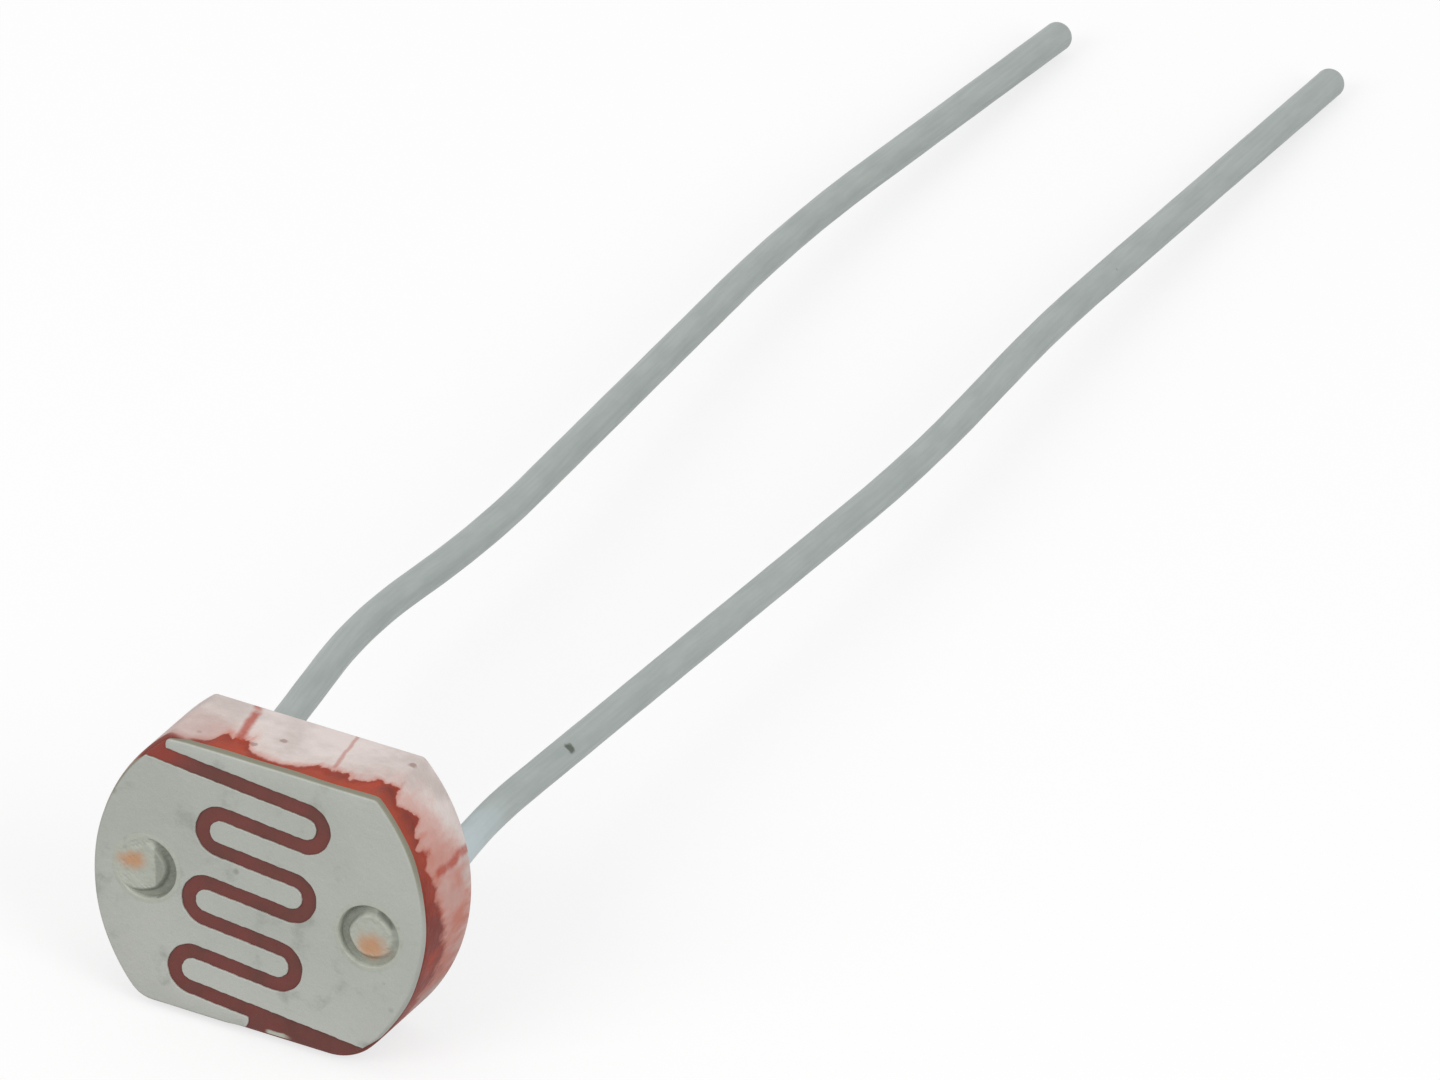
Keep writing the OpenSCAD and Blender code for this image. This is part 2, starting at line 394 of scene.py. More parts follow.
@dataclass(frozen=True)
class Stance:
    """How the cell lies: leant back until its lower back edge and a lead's tip carry it."""

    lean: float
    shift_y: float
    shift_z: float

    @classmethod
    def resting(cls, sizes: CellSizes, tip_depths: Sequence[float]) -> "Stance":
        """Works out the lean at which the cell rests on Z = 0.

        The disc's rounded lower back edge and a tip's rounded rim touch one level surface: the lean is
        the slope of the line between the middles of the two roundings, corrected for their radii.

        Args:
            sizes: Sizes of the cell.
            tip_depths: How far each lead's tip lies behind the disc's back.

        Returns:
            The stance, with the middle of the length at Y = 0.
        """
        drop = sizes.lead_row_y - sizes.wire_r + sizes.tip_r + sizes.half_flats - sizes.edge_r
        reach = np.array(tip_depths) - sizes.tip_r + sizes.edge_r
        slope = np.arctan2(drop, reach) + np.arcsin((sizes.edge_r - sizes.tip_r) / np.hypot(drop, reach))
        lean = float(slope.min())
        sine, cosine = math.sin(lean), math.cos(lean)
        low = sizes.half_flats - sizes.edge_r
        front = -low * sine - sizes.metal_top * cosine
        back = sizes.lead_row_y * sine + (sizes.disc_t + max(tip_depths)) * cosine
        height = low * cosine + (sizes.disc_t - sizes.edge_r) * sine + sizes.edge_r
        return cls(lean, -(front + back) / 2, height)

    def turn(self, vectors: Array) -> Array:
        """Turns directions of the cell's frame into the model's: a quarter turn about X less the lean.

        Args:
            vectors: Array whose last axis is X, Y and Z.

        Returns:
            The turned array.
        """
        sine, cosine = math.sin(self.lean), math.cos(self.lean)
        x, y, z = np.moveaxis(np.asarray(vectors, float), -1, 0)
        return np.stack([x, y * sine - z * cosine, y * cosine + z * sine], -1)

    def place(self, points: Array) -> Array:
        """Carries points of the cell's frame, in millimetres, to the model's frame, in metres."""
        return (self.turn(points) + np.array([0, self.shift_y, self.shift_z])) * MM


# Surfaces


class Skin:
    """The closed surface of one piece, gathered ring by ring in the cell's frame."""

    def __init__(self) -> None:
        """Starts with no points and no faces."""
        self._points: list[Array] = []
        self._faces: list[Array] = []
        self._uvs: list[Array] = []
        self._count = 0

    def _ring(self, points: Array) -> Array:
        """Adds points.

        Args:
            points: Array of points by 3.

        Returns:
            Their indices.
        """
        self._points.append(points)
        self._count += len(points)
        return np.arange(self._count - len(points), self._count)

    def _add(self, faces: Array, uvs: Array | None = None) -> None:
        """Keeps faces and the UV of their corners, which is zero where none is given."""
        self._faces.append(faces)
        self._uvs.append(np.zeros((*faces.shape, 2)) if uvs is None else uvs)

    def tube(self, rings: Array, grid_uv: Array | None = None) -> tuple[Array, Array]:
        """Adds closed rings one after another and joins each to the next.

        Args:
            rings: Array of rings by points by 3.
            grid_uv: UV of each point, as rings by points plus one by 2, so that the seam closes.

        Returns:
            The indices of the first and of the last ring.
        """
        rows, columns = rings.shape[:2]
        index = self._ring(rings.reshape(-1, 3)).reshape(rows, columns)
        around = np.roll(index, -1, 1)
        quads = np.stack([index[:-1], around[:-1], around[1:], index[1:]], -1).reshape(-1, 4)
        uvs = None
        if grid_uv is not None:
            low, high = grid_uv[:-1], grid_uv[1:]
            uvs = np.stack([low[:, :-1], low[:, 1:], high[:, 1:], high[:, :-1]], 2).reshape(-1, 4, 2)
        self._add(quads, uvs)
        return index[0], index[-1]

    def rod(self, rings: Array, grid_uv: Array | None = None) -> None:
        """Adds a tube and closes each end with triangles to the middle of its ring.

        Args:
            rings: Array of rings by points by 3.
            grid_uv: UV of each point, as for a tube.
        """
        for ring, points in zip(self.tube(rings, grid_uv), (rings[0], rings[-1])):
            centre = self._ring(points.mean(0)[None])
            self._add(np.stack([ring, np.roll(ring, -1), np.repeat(centre, len(ring))], -1))

    def plate(self, rim: Array, holes: Sequence[Array]) -> None:
        """Adds a plate with openings: its rim, the walls of its holes and the level areas between them.

        Args:
            rim: Rings of the rim.
            holes: Rings of each hole's wall, which begin and end level with those of the rim.
        """
        tubes = [self.tube(rings) for rings in (rim, *holes)]
        for outer, *openings in zip(*tubes):
            self._fill(outer, openings)

    def _fill(self, outer: Array, holes: Sequence[Array]) -> None:
        """Fills the level area between a loop and its holes with triangles.

        A Delaunay triangulation keeps the loops' edges, and a triangle stays where a line from its
        middle along X crosses the loops an odd number of times, unless its corners lie in line.

        Args:
            outer: Indices of the outer loop.
            holes: Indices of each hole's loop.
        """
        loops = [outer, *holes]
        index = np.concatenate(loops)
        flat = np.concatenate(self._points)[index][:, :2]
        ends = np.cumsum([0] + [len(loop) for loop in loops])
        spans = [np.arange(a, b) for a, b in zip(ends, ends[1:])]
        edges = np.concatenate([np.stack([span, np.roll(span, -1)], -1) for span in spans])
        places = [Vector(point) for point in flat.tolist()]
        verts, _, faces, origins, _, _ = delaunay_2d_cdt(places, edges.tolist(), [], 0, NEAR)
        source = np.array([origin[0] for origin in origins])
        triangles = np.array(faces)
        corners = np.array(verts)[triangles]
        middle = corners.mean(1)[:, None]
        start, end = flat[edges[:, 0]], flat[edges[:, 1]]
        rise = end[:, 1] - start[:, 1]
        spanned = (start[:, 1] > middle[..., 1]) != (end[:, 1] > middle[..., 1])
        slope = (end[:, 0] - start[:, 0]) / np.where(rise == 0, 1, rise)
        crossing = start[:, 0] + (middle[..., 1] - start[:, 1]) * slope
        inside = (spanned & (middle[..., 0] < crossing)).sum(1) % 2 == 1
        area = np.abs(np.linalg.det(corners[:, 1:] - corners[:, :1]))
        self._add(index[source[triangles[inside & (area > EMPTY)]]])

    def mesh(self, name: str, stance: Stance, sharp_over: float = 40) -> bpy.types.Mesh:
        """Makes the mesh in the model's frame, with its faces outwards.

        Args:
            name: Name of the mesh.
            stance: How the cell lies.
            sharp_over: Angle in degrees above which an edge stays sharp.

        Returns:
            The mesh.
        """
        mesh = bpy.data.meshes.new(name)
        faces = sum((part.tolist() for part in self._faces), [])
        mesh.from_pydata(stance.place(np.concatenate(self._points)).tolist(), [], faces)
        uvs = np.concatenate([part.reshape(-1, 2) for part in self._uvs])
        if uvs.any():
            mesh.uv_layers.new(name=WIRE_UV).uv.foreach_set("vector", uvs.astype(np.float32).ravel())
        work = bmesh.new()
        work.from_mesh(mesh)
        bmesh.ops.recalc_face_normals(work, faces=work.faces)
        work.to_mesh(mesh)
        work.free()
        mesh.shade_smooth()
        mesh.set_sharp_from_angle(angle=math.radians(sharp_over))
        return mesh


def add_object(name: str, data: bpy.types.ID) -> Piece:
    """Puts a new object into the scene, at the origin.

    Args:
        name: Its name.
        data: Its mesh, camera or lamp.

    Returns:
        The object.
    """
    new = bpy.data.objects.new(name, data)
    bpy.context.scene.collection.objects.link(new)
    return new


# Shader helpers


class Shade:
    """Adds, sets and links the nodes of one tree."""

    def __init__(self, tree: Tree) -> None:
        """Works on the given tree."""
        self.tree = tree

    def plug(self, node: Node, inputs: dict) -> None:
        """Links or sets inputs of a node.

        Args:
            node: The node.
            inputs: A socket to link or a value to set, by the input's name or number.
        """
        for key, value in inputs.items():
            if isinstance(value, Socket):
                self.tree.links.new(value, node.inputs[key])
            else:
                node.inputs[key].default_value = value

    def add(self, kind: str, inputs: dict | None = None, **settings: object) -> Node:
        """Adds a node.

        Args:
            kind: Blender's name of the node type.
            inputs: What plug takes.
            settings: Properties of the node.

        Returns:
            The node.
        """
        node = self.tree.nodes.new(kind)
        for name, value in settings.items():
            setattr(node, name, value)
        self.plug(node, inputs or {})
        return node

    def math(self, operation: str, *values: Value) -> Socket:
        """Result of a Math node on one to three values."""
        return self.add("ShaderNodeMath", dict(enumerate(values)), operation=operation).outputs[0]

    def plus(self, *terms: Value) -> Socket:
        """Sum of the terms."""
        return reduce(partial(self.math, "ADD"), terms)

    def times(self, *factors: Value) -> Socket:
        """Product of the factors."""
        return reduce(partial(self.math, "MULTIPLY"), factors)

    def scaled(self, value: Value, factor: Value, offset: Value) -> Socket:
        """A value times a factor, plus an offset."""
        return self.math("MULTIPLY_ADD", value, factor, offset)

    def radius(self, x: Socket, y: Socket) -> Socket:
        """Distance from the middle line: the root of the sum of two squares."""
        return self.math("SQRT", self.plus(self.math("POWER", x, 2.0), self.math("POWER", y, 2.0)))

    def vector(self, operation: str, *values: Socket | Point) -> Node:
        """A Vector Math node on one or two vectors."""
        return self.add("ShaderNodeVectorMath", dict(enumerate(values)), operation=operation)

    def step(self, value: Socket, low: Value, high: Value) -> Socket:
        """A smooth step from 0 at low to 1 at high, falling where low is the greater."""
        inputs = {"Value": value, "From Min": low, "From Max": high}
        return self.add("ShaderNodeMapRange", inputs, interpolation_type="SMOOTHSTEP").outputs[0]

    def between(self, value: Socket, rise: tuple[float, float], fall: tuple[float, float]) -> Socket:
        """A mask that steps up over one span and down again over another."""
        return self.times(self.step(value, *rise), self.step(value, *reversed(fall)))

    def noise(self, vector: Socket, scale: Value, detail: float = 3.0, roughness: float = 0.5) -> Socket:
        """Value of a Noise texture, about 0.5 on average."""
        inputs = {"Vector": vector, "Scale": scale, "Detail": detail, "Roughness": roughness}
        return self.add("ShaderNodeTexNoise", inputs).outputs["Fac"]

    def rag(self, vector: Socket, *settings: float) -> Socket:
        """Noise about zero, with the settings of noise."""
        return self.plus(self.noise(vector, *settings), -0.5)

    def mix(self, share: Value, first: Tint, second: Tint) -> Socket:
        """Colour between two others."""
        return self.add("ShaderNodeMix", {0: share, 6: first, 7: second}, data_type="RGBA").outputs[2]

    def split(self, vector: Socket) -> tuple[Socket, Socket, Socket]:
        """The three parts of a vector."""
        return tuple(self.add("ShaderNodeSeparateXYZ", {"Vector": vector}).outputs)

    def local(self, vector: Socket, location: Point, rotation: Point, scale: Point) -> Socket:
        """Coordinates in a frame of the given place, turn and scale."""
        inputs = {"Vector": vector, "Location": location, "Rotation": rotation, "Scale": scale}
        return self.add("ShaderNodeMapping", inputs, vector_type="TEXTURE").outputs["Vector"]


class Effects:
    """The effects that several finishes share, each a node group that is built once."""

    # Each cup's copper smear: place of its middle beside the lead's, half sizes, and turn in degrees
    SMEARS = (
        (Side.LEFT, (-0.23, 0.06), (0.28, 0.17, 0.4), 17.0),
        (Side.RIGHT, (0.06, -0.15), (0.31, 0.26, 0.4), 10.0),
    )

    def __init__(self, sizes: CellSizes) -> None:
        """Builds the groups.

        Args:
            sizes: Sizes of the cell.
        """
        self.mottle = self._mottle()
        self.specks = self._specks()
        self.relief = self._relief()
        self.copper = self._copper(sizes)

    @staticmethod
    def _start(name: str, *values: str) -> tuple[Shade, bpy.types.NodeOutputs]:
        """Starts a group with a vector input and more values.

        Args:
            name: Name of the group.
            values: Names of its values.

        Returns:
            The group's helper and what it is given.
        """
        shade = Shade(bpy.data.node_groups.new(name, "ShaderNodeTree"))
        shade.tree.interface.new_socket("Vector", in_out="INPUT", socket_type="NodeSocketVector")
        for label in values:
            shade.tree.interface.new_socket(label, in_out="INPUT", socket_type="NodeSocketFloat")
        return shade, shade.add("NodeGroupInput").outputs

    @staticmethod
    def _close(shade: Shade, output: str, value: Socket) -> Tree:
        """Gives a group its output.

        Args:
            shade: The group's helper.
            output: Name of the output.
            value: What it puts out.

        Returns:
            The group.
        """
        shade.tree.interface.new_socket(output, in_out="OUTPUT", socket_type="NodeSocketFloat")
        shade.add("NodeGroupOutput", {output: value})
        return shade.tree

    def _mottle(self) -> Tree:
        """Soft patches: noise between two levels, stepped smoothly.

        Returns:
            The group.
        """
        shade, given = self._start("soft_patches", "Scale", "Low", "High")
        noise = shade.noise(given["Vector"], given["Scale"], 5.0, 0.6)
        return self._close(shade, "Mask", shade.step(noise, given["Low"], given["High"]))

    def _specks(self) -> Tree:
        """Scattered specks: round a few of the points of a Voronoi texture, a disc of uneven size.

        Returns:
            The group.
        """
        shade, given = self._start("scattered_specks", "Scale", "Size", "Share")
        inputs = {"Vector": given["Vector"], "Scale": given["Scale"]}
        cells = shade.add("ShaderNodeTexVoronoi", inputs).outputs
        red, green, _ = shade.split(cells["Color"])
        radius = shade.times(given["Size"], shade.plus(green, 0.35))
        spot = shade.step(cells["Distance"], radius, shade.times(radius, 0.55))
        chosen = shade.math("LESS_THAN", red, given["Share"])
        return self._close(shade, "Mask", shade.times(spot, chosen))

    def _relief(self) -> Tree:
        """Fine unevenness: coarse noise plus a share of fine noise, as the height of a bump.

        Returns:
            The group.
        """
        shade, given = self._start("fine_relief", "Coarse", "Fine", "Share")
        coarse, fine = (shade.noise(given["Vector"], given[label], 2.0) for label in ("Coarse", "Fine"))
        return self._close(shade, "Height", shade.plus(coarse, shade.times(fine, given["Share"])))

    def _copper(self, sizes: CellSizes) -> Tree:
        """Copper smears: in each cup, an uneven ellipse over the cut wire and the paste beside it.

        Args:
            sizes: Sizes of the cell.

        Returns:
            The group.
        """
        shade, given = self._start("copper_smears", "Unevenness")
        rag = shade.times(shade.rag(given["Vector"], 9.0), given["Unevenness"])
        masks = []
        for side, beside, half_size, turn in self.SMEARS:
            place = (*(sizes.lead_at(side) + beside).tolist(), sizes.wire_front)
            local = shade.local(given["Vector"], place, (0.0, 0.0, math.radians(turn)), half_size)
            gap = shade.vector("LENGTH", local).outputs["Value"]
            masks.append(shade.step(shade.plus(gap, rag), 1.1, 0.2))
        return self._close(shade, "Mask", shade.math("MAXIMUM", *masks))


class Coat(Shade):
    """A material in the making: its nodes, the cell's coordinates and the colour laid on so far."""

    def __init__(self, name: str, stance: Stance, colour: Colour) -> None:
        """Starts a material with one colour.

        Args:
            name: Name of the material.
            stance: How the cell lies.
            colour: The colour under all others.
        """
        self.material = bpy.data.materials.new(name)
        self.material.use_nodes = True
        super().__init__(self.material.node_tree)
        place = (0.0, stance.shift_y * MM, stance.shift_z * MM)
        turn = (math.pi / 2 - stance.lean, 0.0, 0.0)
        self.cell = self.local(self.add("ShaderNodeTexCoord").outputs["Object"], place, turn, (MM, MM, MM))
        self.body: Tint = colour

    def place(self, group: Tree, **values: float) -> Socket:
        """Output of a shared effect in the cell's coordinates, with its own values."""
        return self.add("ShaderNodeGroup", {"Vector": self.cell, **values}, node_tree=group).outputs[0]

    def spot(self, point: Point, radius: float) -> Socket:
        """Mask of what lies within an uneven radius of a point.

        Args:
            point: The point.
            radius: The radius.

        Returns:
            The mask.
        """
        gap = self.vector("DISTANCE", self.cell, point).outputs["Value"]
        uneven = self.times(self.rag(self.cell, 12.0), radius)
        return self.step(self.plus(gap, uneven), radius, radius * 0.45)

    def lay(self, colour: Tint, *shares: Value) -> None:
        """Lays a colour on, by the product of the shares."""
        self.body = self.mix(self.times(*shares), self.body, colour)

    def done(self, rough: Socket, height: Socket, depth_mm: float, **values: float) -> Material:
        """Gives the shader what changes over the surface and sets what doesn't.

        Args:
            rough: The roughness.
            height: Height of a bump.
            depth_mm: Depth that a height of 1 stands for.
            values: Value of each other input, with _ for the spaces in its name.

        Returns:
            The material.
        """
        bump = {"Height": height, "Strength": 1.0, "Distance": depth_mm * MM}
        normal = self.add("ShaderNodeBump", bump).outputs["Normal"]
        inputs = {"Base Color": self.body, "Roughness": rough, "Normal": normal}
        inputs |= {name.replace("_", " "): value for name, value in values.items()}
        self.plug(self.tree.nodes["Principled BSDF"], inputs)
        return self.material


# Finishes


@dataclass(frozen=True)
class Finish:
    """A procedural finish, in the cell's own coordinates."""

    stance: Stance
    effects: Effects


@dataclass(frozen=True)
class CeramicFinish(Finish):
    """Pinkish white pressed ceramic, stained red where the film ran over the front edge of the rim."""

    pale: Colour = srgb(224, 212, 207)
    warm: Colour = srgb(200, 187, 182)
    wash: Colour = srgb(202, 122, 104)
    dusky_wash: Colour = srgb(176, 132, 124)
    stain: Colour = srgb(173, 61, 35)
    deep_stain: Colour = srgb(118, 45, 35)
    dusky_stain: Colour = srgb(130, 68, 60)
    rose: Colour = srgb(165, 69, 46)
    tide: Colour = srgb(146, 48, 22)
    mark: Colour = srgb(124, 84, 74)
    # Angle round the rim in degrees, from the right and anticlockwise, with the reach in mm of the
    # stain and of the thinner wash behind it, the strength of the wash and how dusky both are
    reach: tuple[tuple[float, float, float, float, float], ...] = (
        (-180, 0.00, 0.3, 0.40, 0.8),
        (-127, 0.00, 0.3, 0.40, 0.8),
        (-90, 0.10, 0.5, 0.60, 0.6),
        (-62, 0.10, 1.5, 0.60, 1.0),
        (-45, 0.18, 1.5, 0.75, 1.0),
        (-30, 0.50, 1.5, 0.95, 0.7),
        (-20, 0.70, 1.5, 1.00, 0.4),
        (-8, 0.66, 1.5, 1.00, 0.25),
        (8, 0.46, 1.5, 0.95, 0.1),
        (20, 0.34, 1.2, 0.78, 0.1),
        (36, 0.33, 0.88, 0.60, 0.1),
        (52, 0.38, 0.7, 0.45, 0.1),
        (73, 0.37, 0.5, 0.25, 0.1),
        (77, 0.28, 0.4, 0.20, 0.1),
        (81, 0.12, 0.3, 0.20, 0.2),
        (102, 0.12, 0.3, 0.25, 0.2),
        (105.5, 0.40, 0.7, 0.40, 0.0),
        (110, 0.60, 0.8, 0.50, 0.0),
        (114.5, 0.58, 0.8, 0.50, 0.0),
        (117, 0.12, 0.7, 0.45, 0.5),
        (123, 0.02, 0.8, 0.45, 0.9),
        (129, 0.06, 1.0, 0.60, 1.0),
        (138, 0.06, 1.1, 0.65, 1.0),
        (145, 0.00, 0.9, 0.60, 0.9),
        (180, 0.00, 0.3, 0.40, 0.8),
    )
    # Reach in mm that a full colour of the ramp stands for
    ramp_mm: float = 2.0
    # Runs of the stain over the rim: degrees at the face, degrees for each mm back, depth at which it
    # begins, half width in degrees and strength
    runs: tuple[tuple[float, float, float, float, float], ...] = (
        (107.6, 4.6, 0.3, 2.6, 0.8),
        (69.7, 3.0, 0.35, 1.2, 0.5),
        (20.0, 0.3, 0.4, 2.4, 0.75),
    )
    # Length over which a run begins, and distances from the middle between which the rim does
    run_begin: float = 0.15
    run_at: tuple[float, float] = (1.95, 2.02)
    marks: tuple[Point, ...] = (
        (-0.5, 2.05, -0.4),
        (-0.2, 2.05, -0.73),
        (1.56, 2.03, -1.15),
    )
    mark_r: float = 0.08

    def _reaches(self, coat: Coat, angle: Socket) -> tuple[Socket, Socket, Socket, Socket]:
        """What reach says at an angle round the rim.

        Args:
            coat: The material.
            angle: The angle in degrees.

        Returns:
            Reach of the stain and of the wash in mm, strength of the wash, and how dusky they are.
        """
        ramp = coat.add("ShaderNodeValToRGB", {"Fac": coat.scaled(angle, 1 / 360, 0.5)})
        stops = ramp.color_ramp.elements
        while len(stops) < len(self.reach):
            stops.new(1.0)
        for stop, (degrees, stain, wash, strength, dusk) in zip(stops, self.reach):
            stop.position = degrees / 360 + 0.5
            stop.color = (stain / self.ramp_mm, wash / self.ramp_mm, strength, dusk)
        parts = coat.add("ShaderNodeSeparateColor", {"Color": ramp.outputs["Color"]}).outputs
        stain, wash = (coat.times(part, self.ramp_mm) for part in parts[:2])
        return stain, wash, parts[2], ramp.outputs["Alpha"]

    def _run(self, coat: Coat, angle: Socket, row: tuple[float, ...]) -> Socket:
        """Mask of a narrow run of the stain that goes back over the rim.

        Args:
            coat: The material.
            angle: The angle round the rim in degrees.
            row: A row of runs.

        Returns:
            The mask: near the run's line, close to the rim and behind its beginning, faint in places.
        """
        at_face, slope, depth_from, half_w, strength = row
        x, y, z = coat.split(coat.cell)
        wander = coat.times(coat.rag(coat.cell, 3.0), half_w * 1.6)
        off = coat.plus(coat.math("SUBTRACT", angle, coat.scaled(z, -slope, at_face)), wander)
        return coat.times(
            coat.step(coat.math("ABSOLUTE", off), half_w, half_w * 0.2),
            coat.step(coat.radius(x, y), *self.run_at),
            coat.step(z, -depth_from, -depth_from - self.run_begin),
            coat.step(coat.noise(coat.cell, 4.0), 0.1, 0.5),
            strength,
        )

    def _stain(self, coat: Coat) -> None:
        """Lays the stain on the ceramic's own colour.

        The stain covers what lies nearer to the face than its ragged reach. Behind it come a patchy
        wash and the runs. On the upper rim the red is deepest at its brink, and elsewhere at the face.

        Args:
            coat: The material.
        """
        x, y, z = coat.split(coat.cell)
        depth = coat.times(z, -1.0)
        angle = coat.math("DEGREES", coat.math("ARCTAN2", y, x))
        reach, wash_reach, strength, dusk = self._reaches(coat, angle)
        streaky = coat.vector("MULTIPLY", coat.cell, (1.0, 1.0, 0.5)).outputs["Vector"]
        rag = coat.rag(streaky, 2.7, 6.0, 0.64)
        corner = coat.between(angle, (6.0, 24.0), (56.0, 76.0))
        tongues = coat.times(coat.plus(coat.noise(streaky, 4.6, 1.0), -0.46), corner, 0.9)
        edge = coat.plus(reach, coat.times(rag, coat.scaled(reach, 2.0, 0.03)), tongues)
        past = coat.math("SUBTRACT", depth, edge)

        wash_edge = coat.plus(wash_reach, coat.times(rag, 1.2))
        washed = coat.step(coat.math("SUBTRACT", depth, wash_edge), 0.3, -0.3)
        patchy = coat.step(coat.noise(streaky, 1.7, 4.0, 0.6), 0.36, 0.6)
        tint = coat.mix(dusk, self.wash, self.dusky_wash)
        coat.lay(tint, washed, strength, coat.scaled(patchy, 0.4, 0.6))
        coat.lay(tint, coat.step(past, 0.2, 0.0), 0.6)

        upper = coat.step(angle, 10.0, 45.0)
        cloudy = coat.step(coat.noise(streaky, 2.0, 3.0), 0.4, 0.66)
        red = coat.mix(cloudy, self.stain, self.deep_stain)
        at_face = coat.times(coat.step(depth, 0.36, 0.04), 0.8)
        red = coat.mix(at_face, red, coat.mix(upper, self.deep_stain, self.rose))
        red = coat.mix(coat.times(coat.step(past, -0.2, -0.06), upper, 0.75), red, self.tide)
        red = coat.mix(dusk, red, self.dusky_stain)
        soft = coat.scaled(coat.times(reach, coat.step(angle, 40.0, 0.0)), 0.22, 0.04)
        coat.lay(red, coat.step(past, soft, coat.times(soft, -1.0)))
        for row in self.runs:
            coat.lay(self.stain, self._run(coat, angle, row))

    def build(self) -> Material:
        """Makes the material: two pale tones in soft patches, the stain, a few marks and specks.

        Returns:
            The material.
        """
        coat, shared = Coat("stained_ceramic", self.stance, self.pale), self.effects
        coat.lay(self.warm, coat.place(shared.mottle, Scale=1.1, Low=0.38, High=0.68))
        self._stain(coat)
        for place in self.marks:
            coat.lay(self.mark, coat.spot(place, self.mark_r), 0.55)
        coat.lay(self.mark, coat.place(shared.specks, Scale=2.3, Size=0.1, Share=0.1), 0.3)
        rough = coat.scaled(coat.noise(coat.cell, 6.0), 0.25, 0.45)
        height = coat.place(shared.relief, Coarse=7.0, Fine=34.0, Share=0.4)
        return coat.done(rough, height, 0.012, Specular_IOR_Level=0.25)


@dataclass(frozen=True)
class FilmFinish(Finish):
    """Maroon light-sensitive film under a clear lacquer, redder where it thins towards the rim."""

    maroon: Colour = srgb(112, 60, 55)
    brown: Colour = srgb(98, 58, 52)
    red: Colour = srgb(136, 60, 50)
    silver: Colour = srgb(184, 186, 172)
    # A sliver of stray metal at the lower edge: where it begins and ends along X, and how low it lies
    sliver_from: tuple[float, float] = (0.3, 0.38)
    sliver_to: tuple[float, float] = (0.55, 0.75)
    sliver_y: tuple[float, float] = (-1.895, -1.925)

    def build(self) -> Material:
        """Makes the material: two close browns in soft patches, and red by the distance from the middle.

        Returns:
            The material.
        """
        coat, shared = Coat("light_film", self.stance, self.maroon), self.effects
        x, y, _ = coat.split(coat.cell)
        coat.lay(self.brown, coat.place(shared.mottle, Scale=1.6, Low=0.36, High=0.66))
        thin = coat.plus(coat.radius(x, y), coat.times(coat.noise(coat.cell, 4.0), 0.25))
        coat.lay(self.red, coat.step(thin, 2.2, 2.5), coat.step(y, -0.4, 1.2))
        ragged = coat.plus(y, coat.times(coat.noise(coat.cell, 9.0), 0.05))
        sliver = coat.between(x, self.sliver_from, self.sliver_to)
        coat.lay(self.silver, coat.step(ragged, *self.sliver_y), sliver)
        rough = coat.step(coat.noise(coat.cell, 10.0), -0.5, 1.6)
        height = coat.place(shared.relief, Coarse=12.0, Fine=60.0, Share=0.5)
        return coat.done(rough, height, 0.006, Specular_IOR_Level=0.3)


@dataclass(frozen=True)
class MetalFinish(Finish):
    """Matte silver film of the combs, with faint smudges and specks, painted light towards the bottom of
    the face and painted shade where it rolls over the upper rim.
    """

    # Lighter silver, painted light towards the bottom of the face
    painted_lower_light: Colour = srgb(189, 191, 184)
    silver: Colour = srgb(178, 181, 173)
    dull: Colour = srgb(170, 174, 166)
    smudge: Colour = srgb(148, 152, 143)
    speck: Colour = srgb(122, 126, 114)
    # Olive grey, painted shade on the rolled edge
    olive_painted_shade: Colour = srgb(120, 116, 96)

    def build(self) -> Material:
        """Makes the material: broad patches, a few darker smudges and small specks over the silver.

        Returns:
            The material.
        """
        coat, shared = Coat("silver_film", self.stance, self.silver), self.effects
        _, y, z = coat.split(coat.cell)
        coat.lay(self.dull, coat.place(shared.mottle, Scale=0.45, Low=0.36, High=0.66))
        # Painted light: the silver grows lighter towards the bottom of the face, standing in for light
        # thrown up from below
        coat.lay(self.painted_lower_light, coat.step(y, 0.3, -1.8), 0.6)
        coat.lay(self.smudge, coat.place(shared.mottle, Scale=2.0, Low=0.55, High=0.74), 0.75)
        coat.lay(self.speck, coat.place(shared.specks, Scale=2.0, Size=0.15, Share=0.36), 0.6)
        grain = coat.step(coat.noise(coat.cell, 40.0, 2.0), 0.2, 0.8)
        coat.lay(self.smudge, grain, 0.15)
        # Painted shade: olive grey over the rolled edge of the upper rim, dimming the light that the
        # rounding catches
        rolled = coat.step(z, 0.068, 0.045)
        coat.lay(self.olive_painted_shade, rolled, coat.step(y, 0.2, 1.3), 0.85)
        height = coat.place(shared.relief, Coarse=9.0, Fine=48.0, Share=0.45)
        rough = coat.scaled(grain, 0.12, 0.5)
        return coat.done(rough, height, 0.006, Metallic=0.15, Specular_IOR_Level=0.4)


